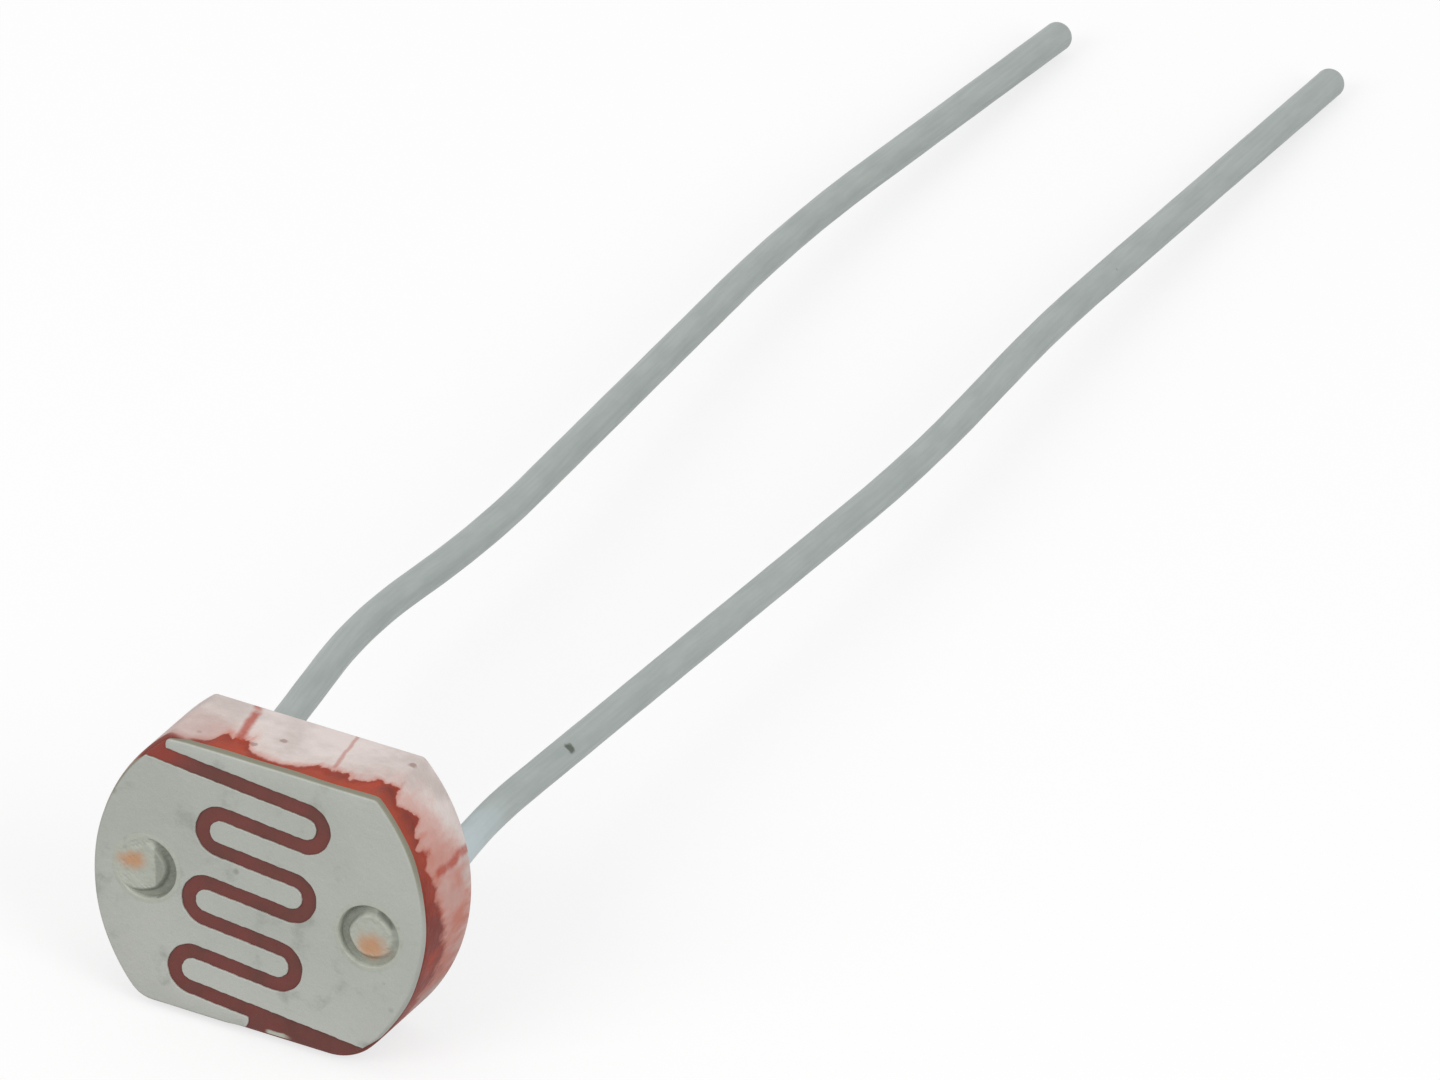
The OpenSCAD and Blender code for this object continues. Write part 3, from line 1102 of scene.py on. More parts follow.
@dataclass(frozen=True)
class PasteFinish(Finish):
    """Grey paste: silver like the combs at the top, with painted shade in olive grey in the hollow,
    smeared with copper.
    """

    top: Colour = srgb(176, 179, 168)
    # Olive grey, painted shade in the cup's hollow under the silver top
    olive_painted_shade: Colour = srgb(141, 144, 133)
    # Darker grey of the paste's lumps, also laid as painted shade in the left cup
    lump_tone_and_shade: Colour = srgb(136, 139, 128)
    copper: Colour = srgb(190, 142, 106)
    # Where the painted shade on the right-hand part of the left cup begins, with its slant, and where that
    # cup's paste ends
    painted_shade_from: tuple[float, float] = (-1.59, -1.55)
    painted_shade_slant: float = 0.16
    painted_shade_to: tuple[float, float] = (-1.1, -1.12)

    def build(self) -> Material:
        """Makes the material: painted shade darkens the colour with the depth below the face.

        Returns:
            The material.
        """
        coat, shared = Coat("grey_paste", self.stance, self.olive_painted_shade), self.effects
        x, y, z = coat.split(coat.cell)
        uneven = coat.times(coat.rag(coat.cell, 9.0), 0.06)
        # Painted shade: the paste keeps its olive grey below the top, in the cup's hollow
        coat.lay(self.top, coat.step(coat.plus(z, uneven), -0.02, 0.05))
        coat.lay(self.lump_tone_and_shade, coat.place(shared.mottle, Scale=6.0, Low=0.5, High=0.75), 0.35)
        # Painted shade: the right part of the left cup's paste, below the top, is darkened with the lump
        # tone
        slant = coat.plus(x, uneven, coat.times(y, self.painted_shade_slant))
        dull = coat.times(coat.step(slant, *self.painted_shade_from), coat.step(x, *self.painted_shade_to))
        coat.lay(self.lump_tone_and_shade, dull, coat.step(y, 0.34, 0.24), coat.step(z, 0.068, 0.06), 0.75)
        coat.lay(self.copper, coat.place(shared.copper, Unevenness=0.7), 0.9)
        rough = coat.step(coat.noise(coat.cell, 18.0), -0.8, 1.2)
        height = coat.place(shared.relief, Coarse=10.0, Fine=42.0, Share=0.4)
        return coat.done(rough, height, 0.009, Metallic=0.1, Specular_IOR_Level=0.35)


@dataclass(frozen=True)
class WireFinish(Finish):
    """Satin tin with faint streaks along the wire, and lacquer that crept up it behind the disc."""

    tin: Colour = srgb(168, 175, 172)
    dull: Colour = srgb(150, 158, 155)
    lacquer: Colour = srgb(192, 204, 208)
    nick: Colour = srgb(92, 98, 90)
    # Place of the nick in the right lead
    nick_at: Point = (1.73, 0.13, -6.43)
    nick_r: float = 0.11
    # How much the fine and the broad streaks are drawn out
    streaks: tuple[Point, Point] = ((18.0, 0.9, 1.0), (3.0, 0.9, 1.0))

    def build(self) -> Material:
        """Makes the material: streaks are noise stretched along the wire's own UV, in millimetres.

        Returns:
            The material.
        """
        coat, shared = Coat("tinned_wire", self.stance, self.tin), self.effects
        _, _, z = coat.split(coat.cell)
        skin = coat.add("ShaderNodeUVMap", uv_map=WIRE_UV).outputs["UV"]
        drawn = [coat.add("ShaderNodeMapping", {"Vector": skin, "Scale": scale}) for scale in self.streaks]
        fine, broad = (node.outputs["Vector"] for node in drawn)
        streak = coat.step(coat.noise(fine, 1.0, 3.0), 0.3, 0.75)
        coat.lay(self.dull, streak, 0.22)
        coat.lay(self.dull, coat.step(coat.noise(broad, 1.0, 4.0), 0.35, 0.7), 0.5)
        coat.lay(self.nick, coat.place(shared.specks, Scale=1.6, Size=0.09, Share=0.1), 0.4)
        coat.lay(self.nick, coat.spot(self.nick_at, self.nick_r))
        wetted = coat.plus(z, coat.noise(coat.cell, 2.0))
        coat.lay(self.lacquer, coat.step(wetted, -4.2, -2.4), 0.75)
        height = coat.plus(streak, coat.times(coat.noise(coat.cell, 20.0), 0.5))
        return coat.done(coat.scaled(streak, 0.12, 0.4), height, 0.002, Metallic=0.6)


@dataclass(frozen=True)
class ResinFinish(Finish):
    """Clear resin, a little milky, with a slightly wavy gloss."""

    clear: Colour = srgb(240, 240, 234)
    milky: Colour = srgb(224, 226, 220)

    def build(self) -> Material:
        """Makes the material: clear and milky patches, and a broad shallow bump.

        Returns:
            The material.
        """
        coat, shared = Coat("clear_resin", self.stance, self.clear), self.effects
        coat.lay(self.milky, coat.place(shared.mottle, Scale=1.5, Low=0.35, High=0.7))
        rough = coat.scaled(coat.noise(coat.cell, 5.0), 0.14, 0.08)
        height = coat.place(shared.relief, Coarse=2.2, Fine=12.0, Share=0.1)
        return coat.done(rough, height, 0.02, Alpha=0.3, IOR=1.5)


# Sub-assemblies


@dataclass(frozen=True)
class Workshop:
    """What every sub-assembly works with: the sizes, the outline and the stance."""

    sizes: CellSizes
    outline: Outline
    stance: Stance

    def add(self, skin: Skin, name: str, node: str, slot: Slot, material: Material) -> Piece:
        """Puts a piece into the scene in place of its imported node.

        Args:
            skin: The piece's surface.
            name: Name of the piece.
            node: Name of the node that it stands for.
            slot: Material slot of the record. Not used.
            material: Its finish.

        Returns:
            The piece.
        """
        mesh = skin.mesh(name, self.stance)
        mesh.materials.append(material)
        piece = add_object(name, mesh)
        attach(piece, "root")
        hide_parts(node)
        return piece


@dataclass(frozen=True)
class CeramicBase:
    """The pressed disc with its flats, its rounded edges and two cupped lead holes."""

    shop: Workshop
    round_n: int = 8
    side_n: int = 6

    def rows(self) -> tuple[Array, Array]:
        """Section of the rim from the face to the back.

        A quarter round at each edge: the inset falls with the sine of the angle while the height falls
        with its cosine, and a straight side lies between the two.

        Returns:
            The inset and the height of each row.
        """
        sizes = self.shop.sizes
        drop, inset = (sizes.edge_r * part for part in quarter(self.round_n + 1))
        straight = np.linspace(-sizes.edge_r, sizes.edge_r - sizes.disc_t, self.side_n + 1)[1:-1]
        insets = np.concatenate([inset, np.zeros(len(straight)), inset[::-1]])
        return insets, np.concatenate([-drop, straight, drop[::-1] - sizes.disc_t])

    def build(self, material: Material) -> Piece:
        """Builds the rim from the outline's loop at each row, the two faces, and the holes.

        Args:
            material: Its finish.

        Returns:
            The piece.
        """
        sizes, skin = self.shop.sizes, Skin()
        rim = stack((self.shop.outline.loop(inset), height) for inset, height in zip(*self.rows()))
        hole = (
            (sizes.cup_r, 0.0),
            (sizes.cup_r, -sizes.cup_depth),
            (sizes.hole_r, -sizes.cup_depth),
            (sizes.hole_r, -sizes.disc_t),
        )
        skin.plate(rim, [sizes.bore(side, hole) for side in Side])
        return self.shop.add(skin, "ceramic_disc", "ceramic_base", Slot.CERAMIC, material)


@dataclass(frozen=True)
class LightFilm:
    """The light-sensitive film over the face, open at the cups."""

    shop: Workshop
    soft_edge: float = 0.02
    round_n: int = 5

    def build(self, material: Material) -> Piece:
        """Builds a plate between the outline and the cups, with its upper rim rounded off.

        Args:
            material: Its finish.

        Returns:
            The piece.
        """
        sizes, skin = self.shop.sizes, Skin()
        inset, drop = (self.soft_edge * part for part in quarter(self.round_n))
        insets = sizes.edge_r + np.concatenate([[0], inset])
        heights = np.concatenate([[0], sizes.film_t - drop])
        rim = stack((self.shop.outline.loop(inset), height) for inset, height in zip(insets, heights))
        hole = ((sizes.cup_r, 0.0), (sizes.cup_r, sizes.film_t))
        skin.plate(rim, [sizes.bore(side, hole) for side in Side])
        return self.shop.add(skin, "light_film", "cds_film", Slot.FILM, material)


@dataclass(frozen=True)
class CombElectrodes:
    """The two interleaved combs on either side of the winding track."""

    shop: Workshop
    rim_inset: float = 0.06
    runs: int = 7
    pitch: float = 0.55
    track_w: float = 0.22
    run_l: float = 1.2
    mask_turn: float = -5.0
    mask_at: tuple[float, float] = (-0.13, -0.05)
    top_strip_l: float = 1.65
    bottom_strip_l: float = 0.35
    strip_end_r: float = 0.15
    strip_end_n: int = 40
    # How far from the pattern's middle the first and the last run go on, past the rim, and how many
    # times the points of another run they have
    reach: float = 3.2
    outer_n: int = 3
    # Rows of the rim from below: along the track the outset and the share of the thickness, and over
    # the disc's edge the outset and the height
    apron: tuple[tuple[float, float, float, float], ...] = (
        (0.0, 0.0, 0.0, 0.04),
        (0.0, 0.1, 0.056, -0.03),
        (0.0, 0.3, 0.047, 0.012),
        (0.0, 0.5, 0.032, 0.046),
        (0.0, 0.75, 0.014, 0.064),
        (-0.008, 1.0, -0.008, 0.07),
    )
    # Distance from the rim within which the apron begins, length over which it fades out towards the
    # bare ends of the track, and share and lengths of its unevenness
    apron_w: float = 0.03
    fade: float = 0.3
    ragged: float = 0.1
    ragged_l: tuple[float, ...] = (2.3, 1.1)
    # Height and lengths of the waver of the edges along the track
    waver: float = 0.007
    waver_l: tuple[float, ...] = (0.9, 0.37, 0.21, 0.13)
    step: float = 0.02
    # Angle in radians by which the rim's points keep clear of the track's ends
    clear: float = 0.01
    waver_seed: int = 7
    apron_seed: int = 51

    @property
    def top(self) -> float:
        """Y of the first run in the pattern's frame."""
        return (self.runs - 1) / 2 * self.pitch

    def _middle_line(self) -> tuple[Array, Array]:
        """The track's middle line in the pattern's frame, with its left-hand normals.

        Even runs go to the right and odd runs back. A half circle joins each to the next, by turns
        clockwise on the right and anticlockwise on the left. The first and the last run go on outwards.

        Returns:
            Points and normals, each an array of points by 2.
        """
        half, turn_r = self.run_l / 2, self.pitch / 2
        sweep = np.linspace(np.pi / 2, -np.pi / 2, int(np.pi * turn_r / self.step))[1:-1]
        points, normals = [], []
        for run in range(self.runs):
            way = 1 if run % 2 == 0 else -1
            first, last = run == 0, run == self.runs - 1
            start, stop = -self.reach if first else -half, self.reach if last else half
            count = int(self.run_l / self.step) * (self.outer_n if first or last else 1)
            x = way * np.linspace(start, stop, count)
            y = self.top - run * self.pitch
            points.append(np.stack([x, np.full(count, y)], -1))
            normals.append(np.tile([0.0, float(way)], (count, 1)))
            if not last:
                out = ray(sweep) * (way, 1)
                points.append(np.array([way * half, y - turn_r]) + turn_r * out)
                normals.append(way * out)
        return np.concatenate(points), np.concatenate(normals)

    def _strip_end(self, strip_l: float, below: bool) -> tuple[Array, float]:
        """The round end of a strip and where it meets the track's edge, in the pattern's frame.

        The end is an arc from the track's edge, where it starts at 30 degrees, outwards past the rim.

        Args:
            strip_l: Reach of the strip from the pattern's middle.
            below: Whether it is the strip under the last run.

        Returns:
            Points of the arc from the track outwards, and X of its start.
        """
        drop = (self.track_w + self.strip_end_r) / 2
        middle = np.array([strip_l - self.strip_end_r, -self.top - drop])
        arc = middle + self.strip_end_r * ray(np.linspace(np.pi / 6, -np.pi / 2, self.strip_end_n))
        arc = arc if below else -arc
        return arc, float(arc[0, 0])

    def _on_face(self, points: Array) -> Array:
        """Turns and shifts points from the pattern's frame to the face.

        Args:
            points: Array of points by 2.

        Returns:
            The moved points.
        """
        turn = math.radians(self.mask_turn)
        sine, cosine = math.sin(turn), math.cos(turn)
        return points @ np.array([[cosine, sine], [-sine, cosine]]) + np.array(self.mask_at)

    def _edge(self, side: Side) -> Array:
        """The edge of one comb along the track, on the face and past the rim at both ends.

        It lies half the track's width from the middle line, on the left of its course for the right comb
        and on the right for the left comb, with a slight waver.

        Args:
            side: Which comb.

        Returns:
            Points by 2.
        """
        points, normals = self._middle_line()
        uneven = self.waver * ripple(lengths_along(points), self.waver_seed + side.value, self.waver_l)
        edge = points + (side.value * self.track_w / 2 + uneven)[:, None] * normals
        if side is Side.RIGHT:
            arc, start = self._strip_end(self.top_strip_l, below=False)
            first_run = np.abs(points[:, 1] - self.top) < NEAR
            edge = np.concatenate([arc[::-1], edge[~(first_run & (edge[:, 0] < start))]])
        else:
            arc, start = self._strip_end(self.bottom_strip_l, below=True)
            last_run = np.abs(points[:, 1] + self.top) < NEAR
            edge = np.concatenate([edge[~(last_run & (edge[:, 0] > start))], arc])
        return self._on_face(edge)

    def _loop(self, side: Side) -> tuple[Array, Array]:
        """Outline of one comb: its edge along the track inside the rim, closed along the rim.

        Args:
            side: Which comb.

        Returns:
            The loop, anticlockwise, points by 2, and the two places where its edge meets the rim.
        """
        edge = self._edge(side)
        beyond = self.shop.outline.beyond(edge, self.rim_inset)
        first, last = np.flatnonzero(beyond < 0)[[0, -1]]
        ends = []
        for inner, outer in ((first, first - 1), (last, last + 1)):
            share = beyond[inner] / (beyond[inner] - beyond[outer])
            ends.append(edge[inner] + share * (edge[outer] - edge[inner]))
        edge = np.concatenate([ends[:1], edge[first : last + 1], ends[1:]])
        rim = self.shop.outline.loop(self.rim_inset)
        angle = np.arctan2(rim[:, 1], rim[:, 0])
        start, stop = (math.atan2(end[1], end[0]) for end in (ends[1], ends[0]))
        gone = np.mod(side.value * (angle - start), 2 * np.pi)
        whole = (side.value * (stop - start)) % (2 * np.pi)
        kept = np.flatnonzero((gone > self.clear) & (gone < whole - self.clear))
        loop = np.concatenate([edge, rim[kept[np.argsort(gone[kept])]]])
        x, y = loop.T
        turning = (x * np.roll(y, -1) - y * np.roll(x, -1)).sum()
        return even_out(loop if turning > 0 else loop[::-1], self.step), np.array(ends)

    def build(self, side: Side, material: Material) -> Piece:
        """Builds a comb as a plate on the film, rolled over the disc's edge and open at its cup.

        Along the track the wall is upright with a small bevel. Within a little of the rim it turns
        into an apron that follows the rounded edge of the disc down to an uneven end.

        Args:
            side: Which comb.
            material: Its finish.

        Returns:
            The piece.
        """
        sizes, skin = self.shop.sizes, Skin()
        loop, ends = self._loop(side)
        along = np.arange(len(loop)) * self.step
        near = np.clip(self.shop.outline.beyond(loop, self.rim_inset) / self.apron_w + 1, 0, 1)
        near *= np.clip(np.linalg.norm(loop[:, None] - ends, axis=2).min(1) / self.fade, 0, 1)
        uneven = ripple(along, self.apron_seed + side.value, self.ragged_l)
        near *= 1 - self.ragged + self.ragged * uneven
        rim, hole = [], []
        for wall_out, wall_up, roll_out, roll_z in self.apron:
            wall_z = blend(sizes.film_t, sizes.metal_top, wall_up)
            out = blend(wall_out, roll_out, near)
            rim.append((shrink(loop, -out[:, None]), blend(wall_z, roll_z, near)))
            hole.append((sizes.cup_r - wall_out, wall_z))
        skin.plate(stack(rim), [sizes.bore(side, hole)])
        return self.shop.add(skin, f"comb_{side.label}", f"electrode_{side.label}", Slot.METAL, material)


@dataclass(frozen=True)
class ContactPaste:
    """The paste in a cup: a skin over the wire's end, a dish round it and a hollow beside it."""

    shop: Workshop
    lip_w: float = 0.05
    lip_h: float = 0.002
    level_w: float = 0.037
    dish_depth: float = 0.01
    hollow_depth: float = 0.11
    # Height of the skin over the wire's end
    cover: float = 0.006
    # Radius of the mound that the wire stands in, and its middle on each side
    mound_r: tuple[float, float] = (0.335, 0.28)
    mound_at: tuple[tuple[float, float], ...] = ((-0.1, 0.0), (0.02, 0.0))
    # Direction in degrees, and the share of the hollow's depth there, on each side
    hollows: tuple[tuple[tuple[float, float], ...], ...] = (
        ((-135, 0.1), (-100, 0.75), (-50, 1.0), (40, 1.0), (70, 0.6), (95, 0.0), (180, 0.0)),
        (
            (-140, 0.9), (-110, 0.7), (-70, 0.6), (25, 0.45), (40, 1.0),
            (62, 1.0), (80, 0.4), (98, 0.6), (140, 1.0),
        ),
    )
    # Width of the hollow's slope at the cup's edge and at the mound
    edge_soft: float = 0.03
    soft: float = 0.085
    # Height and lengths round the cup of the waver of the mound's edge
    waver: float = 0.015
    waver_l: tuple[float, ...] = (2 * np.pi / 3, 2 * np.pi / 5)
    # Depth of the lumps, and the slant and lengths of the two rows of waves that make them
    lumps: float = 0.012
    lump_slants: tuple[float, float] = (1.7, -0.6)
    lumps_l: tuple[tuple[float, ...], ...] = ((0.31, 0.17), (0.27, 0.13))
    waver_seed: int = 61
    lump_seeds: tuple[int, int] = (21, 31)
    around: int = 144
    top_n: int = 60
    lip_n: int = 8
    middle_r: float = 0.02

    def _top(self, side: Side, radius: Array, angle: Array) -> Array:
        """Height of the paste's upper surface.

        From the wire to the cup's edge it is a circular dish, and past that edge the lip falls off as a
        parabola. Between the mound's circle and the cup's edge the height steps smoothly down into the
        hollow, by a share of its depth that follows the direction.

        Args:
            side: Which lead.
            radius: Distance from the lead's middle.
            angle: Direction from it.

        Returns:
            The height, in the shape of radius and angle together.
        """
        sizes = self.shop.sizes
        which = 0 if side is Side.LEFT else 1
        x, y = radius * np.cos(angle), radius * np.sin(angle)
        top = sizes.metal_top + self.lip_h
        half = (sizes.cup_r - self.level_w - sizes.wire_r) / 2
        dish_r = (half**2 + self.dish_depth**2) / (2 * self.dish_depth)
        from_middle = np.clip(radius - sizes.wire_r - half, -half, half)
        dish = top - self.dish_depth + dish_r - np.sqrt(dish_r**2 - from_middle**2)
        out = np.clip((radius - sizes.cup_r) / self.lip_w, 0, 1)
        height = np.minimum(dish, top - self.lip_h * out**2)

        ways, shares = np.transpose(self.hollows[which])
        share = np.interp(np.degrees(angle), ways, shares, period=360)
        waver = self.waver * ripple(angle, self.waver_seed + side.value, self.waver_l)
        mound_x, mound_y = self.mound_at[which]
        mound = np.hypot(x - mound_x, y - mound_y) - self.mound_r[which] - waver
        edge = sizes.cup_r - sizes.bond_gap - radius
        inside = ease(np.minimum(edge / self.edge_soft, mound / self.soft)) * share
        height = blend(height, sizes.metal_top - self.hollow_depth, inside)
        over_wire = ease((sizes.wire_r + self.soft - radius) / self.soft)
        height = blend(height, sizes.wire_front + self.cover, over_wire)

        waves_x = ripple(x + self.lump_slants[0] * y, self.lump_seeds[0] + side.value, self.lumps_l[0])
        waves_y = ripple(y + self.lump_slants[1] * x, self.lump_seeds[1], self.lumps_l[1])
        free = np.clip(np.minimum(radius - sizes.wire_r, edge) / self.soft, 0, 1)
        return height - self.lumps * np.abs(waves_x * waves_y) * free

    def build(self, side: Side, material: Material) -> Piece:
        """Carries the section of the paste round the lead.

        The section goes from the middle of the wire's end over the top, under the lip, down the cup,
        back up the wire and in over its end.

        Args:
            side: Which lead.
            material: Its finish.

        Returns:
            The piece.
        """
        sizes, skin = self.shop.sizes, Skin()
        inner, outer = sizes.wire_r + sizes.bond_gap, sizes.cup_r - sizes.bond_gap
        angle = np.linspace(0, 2 * np.pi, self.around, endpoint=False)
        lip = np.linspace(sizes.cup_r, sizes.cup_r + self.lip_w, self.lip_n)
        radius = np.concatenate([np.linspace(self.middle_r, sizes.cup_r, self.top_n)[:-1], lip])
        heights = self._top(side, radius[:, None], angle[None])
        under = (
            (outer, sizes.metal_top),
            (outer, -sizes.cup_depth),
            (inner, -sizes.cup_depth),
            (inner, sizes.wire_front),
            (self.middle_r, sizes.wire_front),
        )
        radius = np.concatenate([radius, [r for r, _ in under]])
        heights = np.concatenate([heights, np.repeat([[h] for _, h in under], self.around, 1)])
        places = sizes.lead_at(side) + radius[:, None, None] * ray(angle)
        skin.rod(np.concatenate([places, heights[..., None]], -1))
        return self.shop.add(skin, f"paste_{side.label}", f"contact_{side.label}", Slot.PASTE, material)


@dataclass(frozen=True)
class WireLead:
    """A lead: a round wire along its bends, cut square in the cup and rounded at its tip."""

    shop: Workshop
    route: WireRoute
    around: int = 48
    round_n: int = 9
    spacing: float = 0.14
    front_round: float = 0.035
    # Depth, lengths and seed of the wire's unevenness
    uneven: float = 0.004
    uneven_l: tuple[float, ...] = (5.3, 2.1, 0.9)
    seed: int = 41

    def build(self, side: Side, material: Material) -> Piece:
        """Carries a circle along the middle line.

        Across the wire, the circle lies on the line's normal, in the plane of the leads, and on Y. Its
        radius follows a quarter round at each end and varies a little in between. The UV is the length
        round the wire and along it.

        Args:
            side: Which lead.
            material: Its finish.

        Returns:
            The piece.
        """
        sizes, skin = self.shop.sizes, Skin()
        along, x, depth, heading = self.route.trace(sizes.wire_front + sizes.disc_t, sizes.held_l)
        opening, closing = quarter(self.round_n)
        body = np.arange(self.front_round, along[-1] - sizes.tip_r, self.spacing)
        front, tip = self.front_round * opening[:-1], along[-1] - sizes.tip_r * closing
        place = np.concatenate([front, body, tip])
        waves = ripple(body, self.seed + side.value, self.uneven_l)
        thinner = (
            self.front_round * closing[:-1],
            self.uneven * (0.5 + 0.5 * waves),
            sizes.tip_r * opening,
        )
        radius = (sizes.wire_r - np.concatenate(thinner))[:, None]
        at_x, at_depth, turn = (np.interp(place, along, part)[:, None] for part in (x, depth, heading))
        out, up = radius * ray(np.linspace(0, 2 * np.pi, self.around, endpoint=False)).T[:, None]
        lead_x, lead_y = sizes.lead_at(side)
        rings = np.stack(
            [
                lead_x + at_x + out * np.cos(turn),
                lead_y + up,
                sizes.wire_front - at_depth + out * np.sin(turn),
            ],
            -1,
        )
        girth = np.linspace(0, 2 * np.pi * sizes.wire_r, self.around + 1)
        skin.rod(rings, np.stack(np.broadcast_arrays(girth[None], place[:, None]), -1))
        return self.shop.add(skin, f"wire_{side.label}", f"lead_{side.label}", Slot.WIRE, material)


@dataclass(frozen=True)
class ResinSeal:
    """The clear resin over the back, drawn up each wire."""

    shop: Workshop
    thickness: float = 0.1
    inset: float = 0.13
    corner_r: float = 0.25
    soft_edge: float = 0.07
    round_n: int = 7
    climb_h: float = 0.42
    climb_rim: float = 0.01
    climb_dip: float = 0.03
    climb_n: int = 18
    around: int = 64
    # Hair's breadth between the resin and the ceramic, so that their faces don't coincide
    seat: float = 0.002

    def _climb(self) -> tuple[Array, Array]:
        """Section of the climb from the seat up along the wire and down to the resin's surface.

        Its outer side is an arc, hollow outwards, whose middle lies level with the top of the climb and
        its own radius away from the thin rim there.

        Returns:
            Distance from the lead's middle and height over the disc's back.
        """
        inner = self.shop.sizes.wire_r + self.shop.sizes.bond_gap
        hollow = self.climb_h + self.climb_dip
        angle = np.linspace(0, math.asin(self.climb_h / hollow), self.climb_n)
        radius = inner + self.climb_rim + hollow * (1 - np.cos(angle))
        height = self.thickness + self.climb_h - hollow * np.sin(angle)
        return np.concatenate([[inner] * 2, radius]), np.concatenate([[self.seat, height[0]], height])

    def build(self, material: Material) -> Piece:
        """Builds the plate with a rounded rim, and revolves the climb round each wire.

        Args:
            material: Its finish.

        Returns:
            The piece.
        """
        sizes, skin = self.shop.sizes, Skin()
        inset, drop = quarter(self.round_n)
        height = np.maximum(self.thickness * (1 - drop), self.seat)
        half, flats = sizes.disc_r - self.inset, sizes.half_flats - self.inset
        edge = Outline(half, flats, sizes.arc_shift, self.corner_r, self.corner_r, self.corner_r)
        rim = stack((edge.loop(i), -sizes.disc_t - h) for i, h in zip(self.soft_edge * inset, height))
        radius, climb = self._climb()
        feet = [sizes.bore(side, zip(radius, -sizes.disc_t - climb), self.around) for side in Side]
        skin.plate(rim, feet)
        return self.shop.add(skin, "resin_back", "resin_seal", Slot.RESIN, material)


# Studio


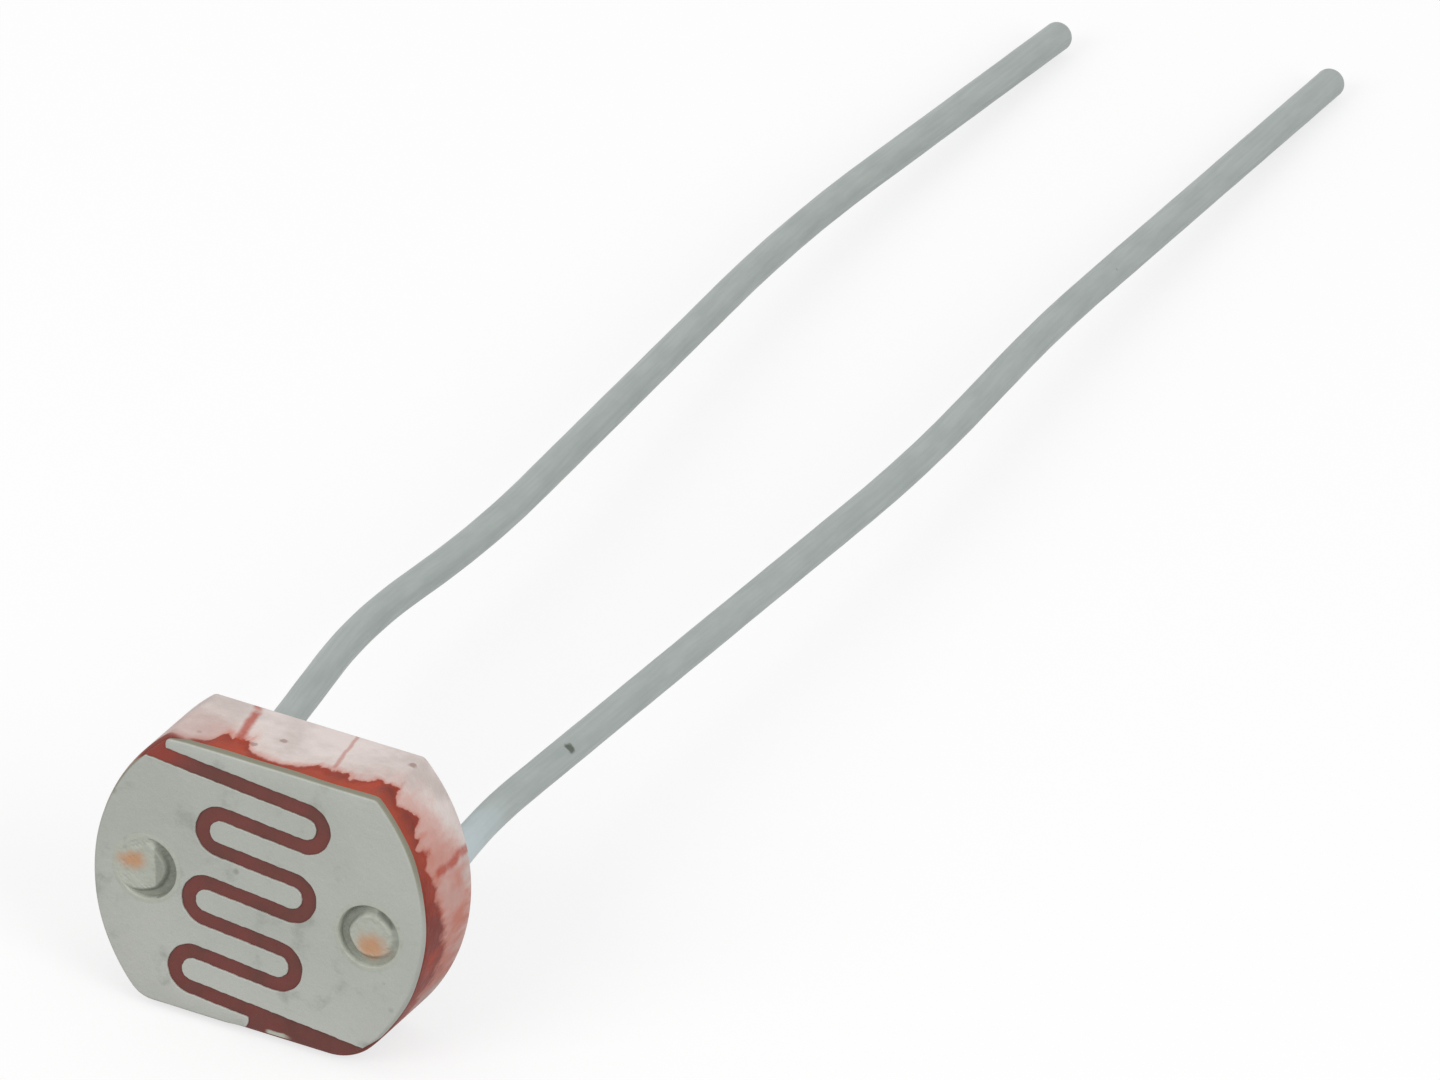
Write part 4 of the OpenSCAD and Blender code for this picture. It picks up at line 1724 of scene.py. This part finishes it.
@dataclass(frozen=True)
class Studio:
    """The floor, the light and the camera."""

    stance: Stance
    # The camera: its line of sight and roll in degrees, its distance and shift in mm, and its lens
    azimuth: float = 21.49
    elevation: float = 26.41
    roll: float = 6.81
    distance: float = 320.0
    aside: tuple[float, float] = (-6.3527, -4.9312)
    face_z: float = 0.07
    lens: float = 582.55
    sensor: float = 36.0
    clip: tuple[float, float] = (0.01, 10.0)
    floor_half: float = 1.5
    floor_tone: float = 0.32
    sky: float = 0.66
    # Name, place in metres and power of each lamp, with the size of both and what they aim at
    lamps: tuple[tuple[str, Point, float], ...] = (
        ("key", (-0.16, -0.42, 0.26), 0.95),
        ("fill", (0.4, -0.2, 0.25), 0.8),
    )
    lamp_size: float = 0.3
    lamp_aim: Point = (0.0, -0.015, 0.002)

    def camera(self) -> Piece:
        """Stands the camera where the view of the face has its slants.

        Its line of sight has an azimuth and an elevation in the cell's frame, it is rolled about that
        line, and it is moved aside in its own plane.

        Returns:
            The camera.
        """
        azimuth, elevation, roll = np.radians([self.azimuth, self.elevation, self.roll])
        flat = np.array([np.sin(azimuth), 0, np.cos(azimuth)])
        back = np.cos(elevation) * flat + np.array([0, np.sin(elevation), 0])
        level = np.array([np.cos(azimuth), 0, -np.sin(azimuth)])
        upright = np.cross(back, level)
        right = np.cos(roll) * level + np.sin(roll) * upright
        up = np.cos(roll) * upright - np.sin(roll) * level
        stand = self.distance * back - self.aside[0] * right - self.aside[1] * up
        data = bpy.data.cameras.new("camera")
        data.lens, data.sensor_width, data.sensor_fit = self.lens, self.sensor, "HORIZONTAL"
        data.clip_start, data.clip_end = self.clip
        pose = np.eye(4)
        pose[:3, :3] = self.stance.turn(np.stack([right, up, back])).T
        pose[:3, 3] = self.stance.place(stand + np.array([0, 0, self.face_z]))
        camera = add_object("camera", data)
        camera.matrix_world = Matrix(pose.tolist())
        bpy.context.scene.camera = camera
        return camera

    @staticmethod
    def _seen(shade: Shade) -> Socket:
        """Tells the rays that show the background: camera, glossy and transmission rays.

        Args:
            shade: Helper of the floor's or the world's tree.

        Returns:
            One for such a ray, and zero for another.
        """
        path = shade.add("ShaderNodeLightPath").outputs
        kinds = (path[f"Is {kind} Ray"] for kind in ("Camera", "Glossy", "Transmission"))
        return reduce(partial(shade.math, "MAXIMUM"), kinds)

    def floor(self) -> Piece:
        """Lays a pale floor: white where rays show it, and still darker in the object's shadow.

        Returns:
            The floor.
        """
        corners = self.floor_half * np.array([[-1, -1, 0], [1, -1, 0], [1, 1, 0], [-1, 1, 0]])
        mesh = bpy.data.meshes.new("floor")
        mesh.from_pydata(corners.tolist(), [], [(0, 1, 2, 3)])
        material = bpy.data.materials.new("pale_floor")
        material.use_nodes = True
        shade = Shade(material.node_tree)
        inputs = {
            "Base Color": (*[self.floor_tone] * 3, 1.0),
            "Roughness": 1.0,
            "Specular IOR Level": 0.0,
            "Emission Color": WHITE,
            "Emission Strength": shade.times(self._seen(shade), 1.0 - self.floor_tone),
        }
        shade.plug(shade.tree.nodes["Principled BSDF"], inputs)
        mesh.materials.append(material)
        floor = add_object("floor", mesh)
        return floor

    def lights(self) -> None:
        """Fills the room with even light and adds two broad soft lamps over the cell."""
        world = bpy.data.worlds.new("room")
        bpy.context.scene.world = world
        world.use_nodes = True
        shade = Shade(world.node_tree)
        strength = shade.scaled(self._seen(shade), 1.0 - self.sky, self.sky)
        shade.plug(shade.tree.nodes["Background"], {"Color": WHITE, "Strength": strength})
        for name, spot, power in self.lamps:
            data = bpy.data.lights.new(name, "AREA")
            data.shape, data.size, data.energy = "DISK", self.lamp_size, power
            lamp = add_object(name, data)
            lamp.location = spot
            aim = Vector(self.lamp_aim) - Vector(spot)
            lamp.rotation_euler = aim.to_track_quat("-Z", "Y").to_euler()


# Main


def main() -> None:
    """Builds every piece in order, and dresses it."""
    logging.basicConfig(level=logging.INFO, format="%(name)s: %(message)s")
    bpy.context.scene.view_settings.view_transform = "Standard"
    sizes = CellSizes()
    # Length, straight runs, turns in degrees and radii of the turns
    routes = {
        Side.LEFT: WireRoute(31, (0.1, 3.9, 0.6, 7.5), (-7.4, 11.4, -6.4, 5.8), (8, 14, 30, 50)),
        Side.RIGHT: WireRoute(32, (0.1, 0.1, 10.7, 1.8), (-6.2, 8, -4.6, 3.5), (8, 15, 50, 50)),
    }
    tips = [float(route.trace(0.0, sizes.held_l)[2][-1]) for route in routes.values()]
    stance = Stance.resting(sizes, tips)
    outline = Outline(sizes.disc_r, sizes.half_flats, sizes.arc_shift)
    shop = Workshop(sizes, outline, stance)
    studio = Studio(stance)
    studio.camera()
    effects = Effects(sizes)

    pieces = [
        CeramicBase(shop).build(CeramicFinish(stance, effects).build()),
        LightFilm(shop).build(FilmFinish(stance, effects).build()),
    ]
    silver = MetalFinish(stance, effects).build()
    paste = PasteFinish(stance, effects).build()
    tin = WireFinish(stance, effects).build()
    combs, contact = CombElectrodes(shop), ContactPaste(shop)
    for side in Side:
        pieces.append(combs.build(side, silver))
        pieces.append(contact.build(side, paste))
        pieces.append(WireLead(shop, routes[side]).build(side, tin))
    pieces.append(ResinSeal(shop).build(ResinFinish(stance, effects).build()))
    studio.floor()
    studio.lights()
    for piece in pieces:
        LOG.info("%s: %d faces, %s", piece.name, len(piece.data.polygons), piece.data.materials[0].name)


if __name__ == "__main__":
    main()
